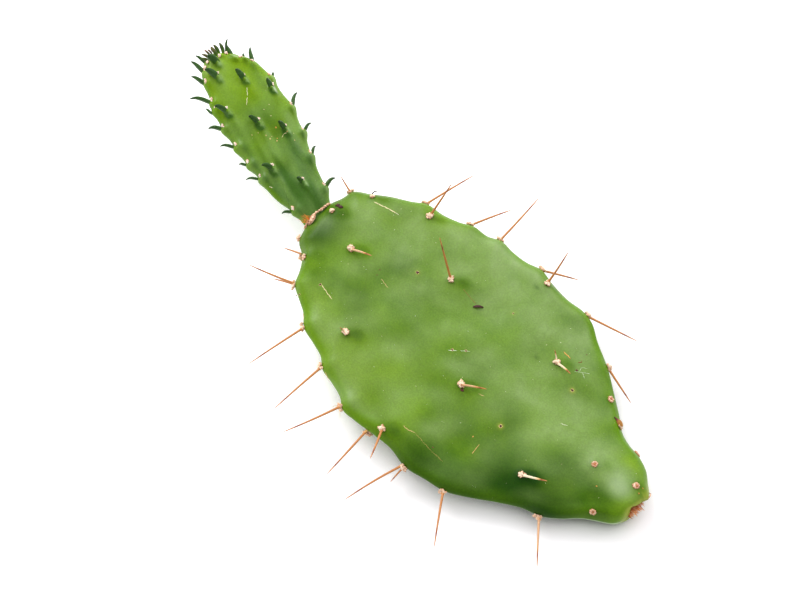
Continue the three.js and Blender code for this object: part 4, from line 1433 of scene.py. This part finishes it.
class CACTUS_OT_areoles(bpy.types.Operator):
    """Grow the felt cushions and fine bristles of every areole"""

    bl_idname = "cactus.areoles"
    bl_label = "Areoles"

    def execute(self, context):
        s = context.scene.cactus_areole
        rng = np.random.default_rng(FELT_SEED)
        self.felt(s, rng)
        self.wool(s, rng)
        return {"FINISHED"}

    def felt(self, s, rng):
        """The grown pad's cushions, with straw bristles on them."""
        felt = felt_look("areole_felt", s.low, s.high, s.pale)
        straw = crust_look("glochid_bristle", STRAW, 0.002, 0.5)
        pad = grown_pad()
        cushions = Gather()
        for name, side, x, y, *spines in AREOLES:
            at, out = pad.seat(side, x, y)
            if name in HIDDEN_RIMS:
                at, out = at - UP * 2.4, unit(out - UP)
            elif side == RIM:
                at, out = at + out * 0.4, unit(out + UP * 0.35)
            wide = s.width / MM * rng.uniform(0.9, 1.05)
            if name in BUTTONS:
                button(cushions, at, out, wide * 0.9, rng)
            else:
                # Rim cushions keep a paler felt, as more painted light, and are drawn long along the rim.
                least, long = (0.55, 1.4) if side == RIM else (0.0, 1.0)
                cushion(cushions, at, out, wide if spines else wide * 0.85, rng, least, long)
        cushions.piece("areole_cushions", laid_resting, felt, "areole_felt")
        stand_bristles(
            "areole_bristles", "areole_cushions", straw, "glochid_bristle",
            Density=s.density * PER_CM2, Length=s.bristle, Radius=0.00005, Lean=0.6, Seed=3,
        )

    def wool(self, s, rng):
        """Tufts of wool above the young pad's leaves, with fine hair on them."""
        wool = felt_look("leaf_wool", s.high, s.wool, WOOL_TIPS)
        young = young_pad()
        bare = young.bare()
        tufts = Gather()
        for side, x, y in leaf_places():
            at, out = leaf_seat(bare, side, x, y)
            if side == RIM:
                tuft, wide = at - out * 0.6 + np.array([0, 0.6, 2.1]), 1.3
            else:
                tuft, wide = at + out * 1.5 + np.array([0.6, 1.5, 0]), 0.9
            cushion(tufts, tuft, out, wide * (0.75 if y > 92 else 1), rng)
        for x, y in CROWN_WOOL:
            at, out = young.seat(TOP, x, y)
            cushion(tufts, at + out * 0.2, out, 0.95, rng)
        tufts.piece("leaf_wool", laid_down_young, wool, "areole_felt")
        hair = crust_look("wool_hair", WOOL_HAIR, 0.002, 0.8)
        stand_bristles(
            "wool_bristles", "leaf_wool", hair, "areole_felt",
            Density=2 * s.density * PER_CM2, Length=0.0006, Radius=0.00004, Lean=0.7, Seed=9,
        )


# ---- Cork ----

SEAM_AT = np.array([4.2, 216.1, 0.3])
SEAM_WIDE, SEAM_HIGH = 9.2, 4.5
SEAM_LUMPS, SEAM_HAIRS, STEM_FIBRES = 54, 17, 300
SCALE_PATH = ((-3.2, 215.3, 2.8), (-1.4, 215.3, 4.6), (0.4, 215.6, 5.4), (2.2, 216, 5.2))
SCALE_LAYERS = ((0, 1.35), (0.5, 1.05), (0.95, 0.7))  # how high each lies, and its half width
FIBRE_TAPER = np.array([1, 1, 0.9, 0.7, 0.5, 0.15])


class CACTUS_OT_cork(bpy.types.Operator):
    """Grow the corky scar at the stem end and the ridge under the young pad"""

    bl_idname = "cactus.cork"
    bl_label = "Cork"

    def execute(self, context):
        cork = crust_look("cork", CORK, 0.0009)
        rng = np.random.default_rng(SEAM_SEED)
        self.joint_ridge(cork, rng)
        self.joint_scale(cork)
        self.joint_bristles(rng)
        self.stem_fibres()
        self.stem_edge(cork)
        return {"FINISHED"}

    def joint_ridge(self, cork, rng):
        """A broken corky seam round the young pad's foot."""
        ridge = Gather()
        for k in range(SEAM_LUMPS):
            angle = k * 2 * math.pi / SEAM_LUMPS
            across, up = math.cos(angle), math.sin(angle)
            lift = 0.9 * up * math.cos(angle * 1.5) ** 2
            at = SEAM_AT + np.array([SEAM_WIDE * across, lift, SEAM_HIGH * up])
            out = unit([across / SEAM_WIDE, 0, up / SEAM_HIGH])
            along = unit(np.cross([0, 1, 0], out))
            sizes = rng.uniform((0.65, 0.36, 0.36), (1.2, 0.66, 0.66))
            shape = blob(at, sizes, [along, [0, 1, 0], out], rng, 0.22)
            ridge.add(shape, raised=np.clip((shape[0] - at) @ out * 0.6 + 0.5, 0, 1))
        ridge.piece("joint_ridge", laid_down, cork, "cork")

    def joint_scale(self, cork):
        """A loose papery scale in three layers, lying on the seam."""
        scale = Gather()
        for rise, wide in SCALE_LAYERS:
            radii = np.array([0.35, 1, 1, 0.35]) * wide
            path = np.array(SCALE_PATH) + (0, 0.1, rise * 0.8)
            scale.add(tube(path, radii, 12, flat=0.3, wide_way=(0.2, -0.9, 0.6)))
        scale.piece("joint_scale", laid_down, cork, "cork")

    def joint_bristles(self, rng):
        """A tuft of amber bristles that lean out of the seam over the scale."""
        hairs = Gather()
        for _ in range(SEAM_HAIRS):
            foot = rng.uniform((-3.4, 216.2, 3.2), (1.2, 217.2, 4.6))
            vector = rng.uniform((-4.6, 0.8, 0.4), (0.2, 4.4, 1.8))
            hairs.add(tube(bowed(foot, vector, (0, 0, 0.2), 5), (0.15, 0.14, 0.12, 0.08, 0.03), 6))
        amber = crust_look("amber_bristle", AMBER, 0.003, 0.45)
        hairs.piece("joint_bristles", laid_down, amber, "glochid_bristle")

    def stem_fibres(self):
        """Torn fibres inside the stem end: red brown at the root and straw at the end."""
        rng = np.random.default_rng(FIBRE_SEED)
        fibres = Gather()
        for _ in range(STEM_FIBRES):
            angle, reach = rng.uniform(0, 2 * math.pi), math.sqrt(rng.uniform(0, 0.92))
            side, rise = 5.4 * reach * math.cos(angle) - 0.8, 2.5 * reach * math.sin(angle) + 1.4
            foot = STEM_FACE + side * STEM_SIDE + rise * UP - 2.6 * STEM_OUT
            torn_out = rng.uniform(1.6, 4.2) + 0.8 * math.exp(-(((side + 1) / 3) ** 2))
            run = STEM_OUT * torn_out + rng.normal(0, 0.8, 3)
            path = bowed(foot, run, rng.normal(0, 0.3, 3), len(FIBRE_TAPER))
            fibre = tube(path, FIBRE_TAPER * rng.uniform(0.14, 0.4), 6)
            fibres.add(fibre, along=fibre[2] * rng.uniform(0.5, 1))
        look = toned_look("torn_fibre", "along", FIBRE, 0.9)
        fibres.piece("stem_fibres", laid_resting, look, "cork")

    def stem_edge(self, cork):
        """A thin dry edge along one side of the stem end's lip."""
        turn = np.linspace(-0.35, 1.35, 22)
        lip = np.outer(8.9 * np.cos(turn), STEM_SIDE) + np.outer(6 * np.sin(turn), UP)
        path = STEM_FACE + lip + np.outer(lip_reach(turn) + 0.25, STEM_OUT)
        rim = Gather()
        rim.add(tube(path, 0.32 * np.sin(np.linspace(0.2, 2.9, 22)), 8))
        rim.piece("stem_edge", laid_down, cork, "cork")


# ---- Small marks ----

# Small marks of the grown pad: half width, tone, and the points that a mark runs through. Tones go
# from 0, dark red, over brown, amber and beige to 1, near white.
STREAKS = (
    (0.26, 0.82, (27.3, 199.4), (28.9, 193.6), (30.4, 187.3)), (0.16, 0.9, (29, 194), (30.8, 185.6)),
    (0.2, 0.8, (-23.4, 186.7), (-24.6, 182), (-25.4, 178)), (0.11, 0.72, (-1, 168), (-2.2, 162.2)),
    (0.1, 0.35, (22.5, 134.8), (21.8, 129), (21.4, 125)), (0.18, 0.66, (-37.6, 74.2), (-31.9, 74.9)),
    (0.15, 0.7, (-49.9, 107.7), (-49.6, 104), (-48.5, 101.1)),
    (0.045, 0.66, (-48.5, 101.1), (-49.4, 92), (-49.7, 81.9)),
    (0.3, 0.62, (31.9, 77.3), (31.5, 72.4)), (0.2, 0.3, (32.4, 68.4), (33.8, 67.2), (34.9, 68)),
    (0.055, 1, (27.2, 66.6), (28.8, 64.6), (31.9, 60.4)), (0.05, 1, (28.8, 64.6), (31.4, 65.4)),
    (0.05, 1, (29.8, 63.2), (28.2, 60.6)), (0.05, 1, (31.4, 65.4), (33.4, 63)),
    (0.12, 1, (-6.2, 118.6), (-3.6, 115.2)), (0.1, 1, (-2.4, 114), (0.8, 110.4)),
    (0.1, 0.95, (2.8, 53.6), (4.2, 50.4)), (0.14, 0.7, (-12.8, 92.6), (-11.8, 89.8)),
)
# Pits: x, y, radius, and whether a dry yellow spot surrounds it.
PITS = (
    (-23.6, 187.6, 0.5, 0), (13.8, 157.2, 0.6, 0.3), (-4.7, 117.2, 0.5, 0), (-0.4, 112, 0.45, 0),
    (19.5, 60.9, 0.6, 0.8), (-17.9, 73.7, 0.65, 0.8), (-33.4, 192.7, 0.4, 0),
    (-34.8, 193.4, 0.35, 0), (30.2, 108.6, 0.35, 0.2),
)
# Dots: x, y, radius and tone.
DOTS = (
    (2.2, 171.7, 0.32, 0.2), (-0.8, 170.9, 0.28, 0.2), (39, 68.3, 0.3, 0.15), (-47.8, 90.1, 0.3, 0.2),
    (-30.9, 79.7, 0.35, 0.62), (-9.4, 20.4, 0.36, 0.55), (1.2, 3.2, 0.36, 0.55), (4.6, 3.6, 0.3, 0.55),
    (28.6, 66, 0.5, 0.12), (-16.9, 99.4, 0.85, 0.12), (24.6, 73.6, 0.6, 0), (-63.2, 118.1, 0.5, 0.1),
    (11.8, 216.6, 0.6, 0.05),
)
# Dry dark bits that stand off the skin: their points and half width.
DARK_BITS = (
    (((19.2, 125.2, 0.3), (20.4, 124, 1), (21.6, 122.8, 0.9), (22.7, 121.4, 0.1)), 0.75),
    (((12.8, 212.2, 0.1), (13.9, 211, 0.8), (15, 211.6, 0.3)), 0.95),
    (((13.2, 211, 0.1), (13.8, 209.4, 0.6), (14.4, 208.4, 0.1)), 0.95),
    (((31.6, 204.6, -1.2), (32.6, 205.4, 0), (34, 205, 0.8), (34.9, 203.6, 0.6)), 0.34),
)
# Stray hairs on the rim, from foot to tip.
RIM_HAIRS = (
    ((-39, 184.5), (-41.6, 181.6)), ((-53.4, 156.7), (-56.4, 150.2)), ((-62.2, 139.2), (-65.4, 140.2)),
    ((-62.6, 137.5), (-66.2, 133.6)),
)
# Small marks of the young pad: streaks as above, then dots.
YOUNG_STREAKS = (
    (0.18, 0.88, (2, 76.5), (1, 74.6), (0.1, 72.5)), (0.14, 0.85, (-0.3, 71.8), (-1.6, 70.2), (-2.8, 68.1)),
    (0.16, 0.8, (4.6, 44.6), (6.2, 45.8), (7.6, 45.2)), (0.12, 0.95, (-13.2, 25.2), (-12, 23.4)),
)
YOUNG_DOTS = (
    (-2, 49.1, 0.28, 0.72), (-1, 46.8, 0.32, 0.72), (1.6, 44.2, 0.3, 0.68), (8.1, 45.6, 0.34, 0.66),
    (-8, 52.9, 0.22, 0.72), (-4.8, 52.4, 0.22, 0.72), (7.4, 63.2, 0.24, 0.8), (3.8, 62, 0.22, 0.8),
    (5.4, 57.5, 0.2, 0.8), (2.4, 45.4, 0.26, 0.6), (0.4, 47.6, 0.2, 0.7), (4.6, 50.8, 0.3, 0.6),
    (-12.6, 24.2, 0.24, 0.66), (9.4, 40.2, 0.24, 0.72), (11, 43.8, 0.2, 0.8),
)
DARK_RED, BEIGE = 0.05, 0.72  # tones of a pit and of the ring round it
STREAK_STEP, STREAK_WOBBLE = 0.5, 0.08
PIT_RING = 7  # dots round a pit
SPECKS = ((TOP, 120), (UNDER, 70))
BUD_AT = (22.6, 33)
BUD_RUN = (0.9, 5.8, 1.6)  # from its foot to its tip
BUD_STATIONS = (0, 0.2, 0.5, 0.62, 0.78, 1)
BUD_WIDTHS = (0.8, 1.3, 1.25, 0.8, 0.45, 0.12)


def streak(gather, pad, half, tone, ends, rng):
    """A thin raised scar on a pad's upper face, uneven along its run."""
    ends = np.array(ends, float)
    run = np.concatenate([[0], np.cumsum(np.linalg.norm(np.diff(ends, axis=0), axis=1))])
    at = np.linspace(0, run[-1], max(5, int(run[-1] / STREAK_STEP)))
    x, y = np.interp(at, run, ends[:, 0]), np.interp(at, run, ends[:, 1])
    x = x + rng.normal(0, STREAK_WOBBLE, len(at))
    z = pad.height(x, y, TOP) + half * 0.2
    radii = half * rng.uniform(0.55, 1.15, len(at))
    radii[[0, -1]] = 0.3 * half
    gather.add(tube(np.column_stack([x, y, z]), radii, 8, 0.5, (1, 0, 0)), tone=tone)


def dot(gather, pad, x, y, radius, tone, rng, side=TOP):
    """A small flat lump lying on a pad's skin."""
    at, out = pad.seat(side, x, y)
    sizes = radius * np.array([rng.uniform(0.9, 1.3), rng.uniform(0.7, 1), 0.35])
    gather.add(blob(at, sizes, skin_ways(out), rng, 0.25), tone=tone)


class CACTUS_OT_marks(bpy.types.Operator):
    """Lay the small scars, pits, dots and dry bits on both pads"""

    bl_idname = "cactus.marks"
    bl_label = "Marks"

    def execute(self, context):
        look = toned_look("marks", "tone", MARK_TONES, 0.7)
        rng = np.random.default_rng(MARK_SEED)
        pad, young = grown_pad(), young_pad()
        self.scars(pad, look, rng)
        self.loose_bits(pad, look)
        marks = Gather()
        for half, tone, *ends in YOUNG_STREAKS:
            streak(marks, young, half, tone, ends, rng)
        for mark in YOUNG_DOTS:
            dot(marks, young, *mark, rng)
        marks.piece("young_marks", laid_down_young, look, "cork")
        return {"FINISHED"}

    def scars(self, pad, look, rng):
        """Streaks, ringed pits and dots, and the finest pale specks all over."""
        marks = Gather()
        for half, tone, *ends in STREAKS:
            streak(marks, pad, half, tone, ends, rng)
        for x, y, radius, _ in PITS:
            dot(marks, pad, x, y, radius, DARK_RED, rng)
            for k in range(PIT_RING):
                angle = k * 2 * math.pi / PIT_RING
                rx, ry = x + radius * 1.15 * math.cos(angle), y + radius * 1.15 * math.sin(angle)
                dot(marks, pad, rx, ry, radius * 0.36, BEIGE, rng)
        for mark in DOTS:
            dot(marks, pad, *mark, rng)
        for side, count in SPECKS:
            for _ in range(count):
                x, y = rng.uniform(-56, 54), rng.uniform(10, 210)
                fine, pale = rng.uniform(0.07, 0.16), rng.uniform(0.8, 1)
                if pad.inset(x, y) > 3 and pad.holds(x, y):
                    dot(marks, pad, x, y, fine, pale, rng, side)
        marks.piece("pad_marks", laid_resting, look, "cork")

    def loose_bits(self, pad, look):
        """Dry leaf ends standing off the skin, stray rim hairs and an old dried bud."""
        bits = Gather()
        for path, half in DARK_BITS:
            path = np.array(path, float)
            if path[0, 2] >= 0:
                path[:, 2] += pad.height(path[:, 0], path[:, 1], TOP)
            radii = half * np.sin(np.linspace(0.5, 2.8, len(path)))
            bits.add(tube(path, radii, 10, 0.4), tone=DARK_RED)
        for foot, tip in RIM_HAIRS:
            line = bowed((*foot, 0.5), (tip[0] - foot[0], tip[1] - foot[1], 1), (0, 0, 0.8), 8)
            bits.add(tube(line, np.linspace(0.14, 0.05, 8), 6), tone=0.7)
        at, out = pad.seat(TOP, *BUD_AT)
        line = bowed(at + out * 0.5 - (0, 0.8, 0), BUD_RUN, out * 0.5, 16)
        radii = np.interp(np.linspace(0, 1, 16), BUD_STATIONS, BUD_WIDTHS)
        bud = tube(line, radii, 16, 0.8)
        bits.add(bud, tone=np.interp(bud[2], (0, 0.55, 0.75, 1), (0.5, 0.42, 0.15, 0)))
        bits.piece("dry_bits", laid_down, look, "cork")


# ---- Stage ----

FLOOR_HALF = 3.0
# The floor's pale colour, and the dark colour of its painted contact shadow.
FLOOR_PALE, FLOOR_SHUT_IN = (0.955, 0.935, 0.96), (0.3, 0.29, 0.3)
CONTACT_REACH = 0.01  # how far from the floor the plant still darkens it most
SHUT_IN_OPEN, OPEN_CLEAR = (0.3, 0.5), (0.5, 0.85)  # shares of open light that the floor turns at
GLOW_TURNS = (-0.06, 0.06)  # where along the floor the near glow becomes the far one
ROOM_TURNS = (-0.3, 0.85)  # and where the dim side of the room becomes the bright one
CAMERA_AT = (0.00875, 0.00051, -0.00073)
CAMERA_DISTANCE = 1.111
CAMERA_AZIMUTH, CAMERA_ELEVATION = math.radians(-47), math.radians(65)
CAMERA_LENS, CAMERA_SENSOR = 100.0, 36.0  # millimetres
CAMERA_SEES = 20  # metres
LAMP_WIDE, LAMP_LONG = 1.1, 0.8
KEY_FROM = (0.3, 1.25, 1.15)
SHEEN_FROM = (1.05, -0.1, 1.25)
BRIGHT_SIDE = (0.6, 0.8, 0.3)


def floor_look(s):
    """Pale floor that glows a little, more towards the young pad, as painted light, and whose colour turns
    darker where the plant shuts out the light, as a painted contact shadow.
    """
    look, tree, shader = new_look("floor")
    near = node(tree, "ShaderNodeAmbientOcclusion", {"samples": 8}, {"Distance": CONTACT_REACH})
    light = near.outputs["AO"]
    open_share = laid_over(tree, light, *SHUT_IN_OPEN, kind="LINEAR")
    clear = laid_over(tree, light, *OPEN_CLEAR, kind="LINEAR")
    place = node(tree, "ShaderNodeSeparateXYZ", None, {"Vector": object_place(tree)})
    glow = laid_over(tree, place.outputs["Y"], *GLOW_TURNS, s.glow, s.far_glow)
    feed(tree, shader, {
        "Base Color": mixed(tree, open_share, FLOOR_SHUT_IN, FLOOR_PALE),
        "Roughness": 0.9, "Specular IOR Level": 0.1, "Emission Color": colour(WHITE),
        "Emission Strength": product(tree, glow, clear),
    })
    return look


def aim(thing, target):
    """Points a lamp or camera at a place, with its top towards +Z."""
    way = Vector(target) - thing.location
    thing.rotation_euler = way.to_track_quat("-Z", "Y").to_euler()


class CACTUS_OT_stage(bpy.types.Operator):
    """Set up the pale floor, the soft light and the camera"""

    bl_idname = "cactus.stage"
    bl_label = "Stage"

    def execute(self, context):
        s = context.scene.cactus_stage
        self.floor(s)
        self.surroundings(context, s)
        self.lamp("key", s.key, KEY_FROM)
        self.lamp("sheen", s.sheen, SHEEN_FROM)
        self.camera(context)
        return {"FINISHED"}

    def floor(self, s):
        mesh = bpy.data.meshes.new("floor")
        corners = [(x * FLOOR_HALF, y * FLOOR_HALF, 0) for x, y in ((-1, -1), (1, -1), (1, 1), (-1, 1))]
        mesh.from_pydata(corners, [], [(0, 1, 2, 3)])
        mesh.materials.append(floor_look(s))
        linked("floor", mesh)

    def surroundings(self, context, s):
        """A room that is bright behind and above the plant and dim in front of it."""
        world = bpy.data.worlds.new("studio")
        context.scene.world = world
        world.use_nodes = True
        tree = world.node_tree
        way = node(tree, "ShaderNodeTexCoord").outputs["Generated"]
        facing = node(tree, "ShaderNodeVectorMath", {"operation": "DOT_PRODUCT"},
                      {0: way, 1: Vector(BRIGHT_SIDE).normalized()})
        level = laid_over(tree, facing.outputs["Value"], *ROOM_TURNS, s.dim, s.bright)
        feed(tree, tree.nodes["Background"], {"Strength": level, "Color": colour(WHITE)})

    def lamp(self, name, power, at):
        light = bpy.data.lights.new(name, "AREA")
        light.shape, light.size, light.size_y = "RECTANGLE", LAMP_WIDE, LAMP_LONG
        light.energy = power
        stand = linked(name, light)
        stand.location = at
        aim(stand, (0, 0, 0))

    def camera(self, context):
        camera = bpy.data.cameras.new("camera")
        camera.lens, camera.sensor_width = CAMERA_LENS, CAMERA_SENSOR
        camera.clip_end = CAMERA_SEES
        eye = linked("camera", camera)
        a, e = CAMERA_AZIMUTH, CAMERA_ELEVATION
        back = Vector((math.sin(a) * math.cos(e), -math.cos(a) * math.cos(e), math.sin(e)))
        eye.location = Vector(CAMERA_AT) + back * CAMERA_DISTANCE
        aim(eye, CAMERA_AT)
        context.scene.camera = eye
        context.scene.view_settings.view_transform = "Standard"


# ---- Panel and registration ----


class CACTUS_PT_sidebar(bpy.types.Panel):
    """Sizes and colours of the cactus, and the steps that build it"""

    bl_idname = "CACTUS_PT_sidebar"
    bl_label = "Prickly Pear"
    bl_space_type = "VIEW_3D"
    bl_region_type = "UI"
    bl_category = "Prickly Pear"

    def draw(self, context):
        for step in STEPS:
            self.layout.operator(step.bl_idname)
        for name, group in SETTINGS.items():
            box = self.layout.box()
            box.label(text=name)
            for key in group.__annotations__:
                box.prop(getattr(context.scene, name), key)


SETTINGS = {
    "cactus_pad": PadSettings,
    "cactus_young": YoungSettings,
    "cactus_spine": SpineSettings,
    "cactus_leaf": LeafSettings,
    "cactus_areole": AreoleSettings,
    "cactus_stage": StageSettings,
}
STEPS = (
    CACTUS_OT_stage, CACTUS_OT_grown_pad, CACTUS_OT_young_pad, CACTUS_OT_spines,
    CACTUS_OT_leaves, CACTUS_OT_areoles, CACTUS_OT_cork, CACTUS_OT_marks,
)


def register():
    for group in (*SETTINGS.values(), *STEPS, CACTUS_PT_sidebar):
        bpy.utils.register_class(group)
    for name, group in SETTINGS.items():
        setattr(bpy.types.Scene, name, PointerProperty(type=group))


def unregister():
    for name in SETTINGS:
        delattr(bpy.types.Scene, name)
    for group in reversed((*SETTINGS.values(), *STEPS, CACTUS_PT_sidebar)):
        bpy.utils.unregister_class(group)


def main():
    register()
    for step in STEPS:
        family, name = step.bl_idname.split(".")
        getattr(getattr(bpy.ops, family), name)()


if __name__ == "__main__":
    main()
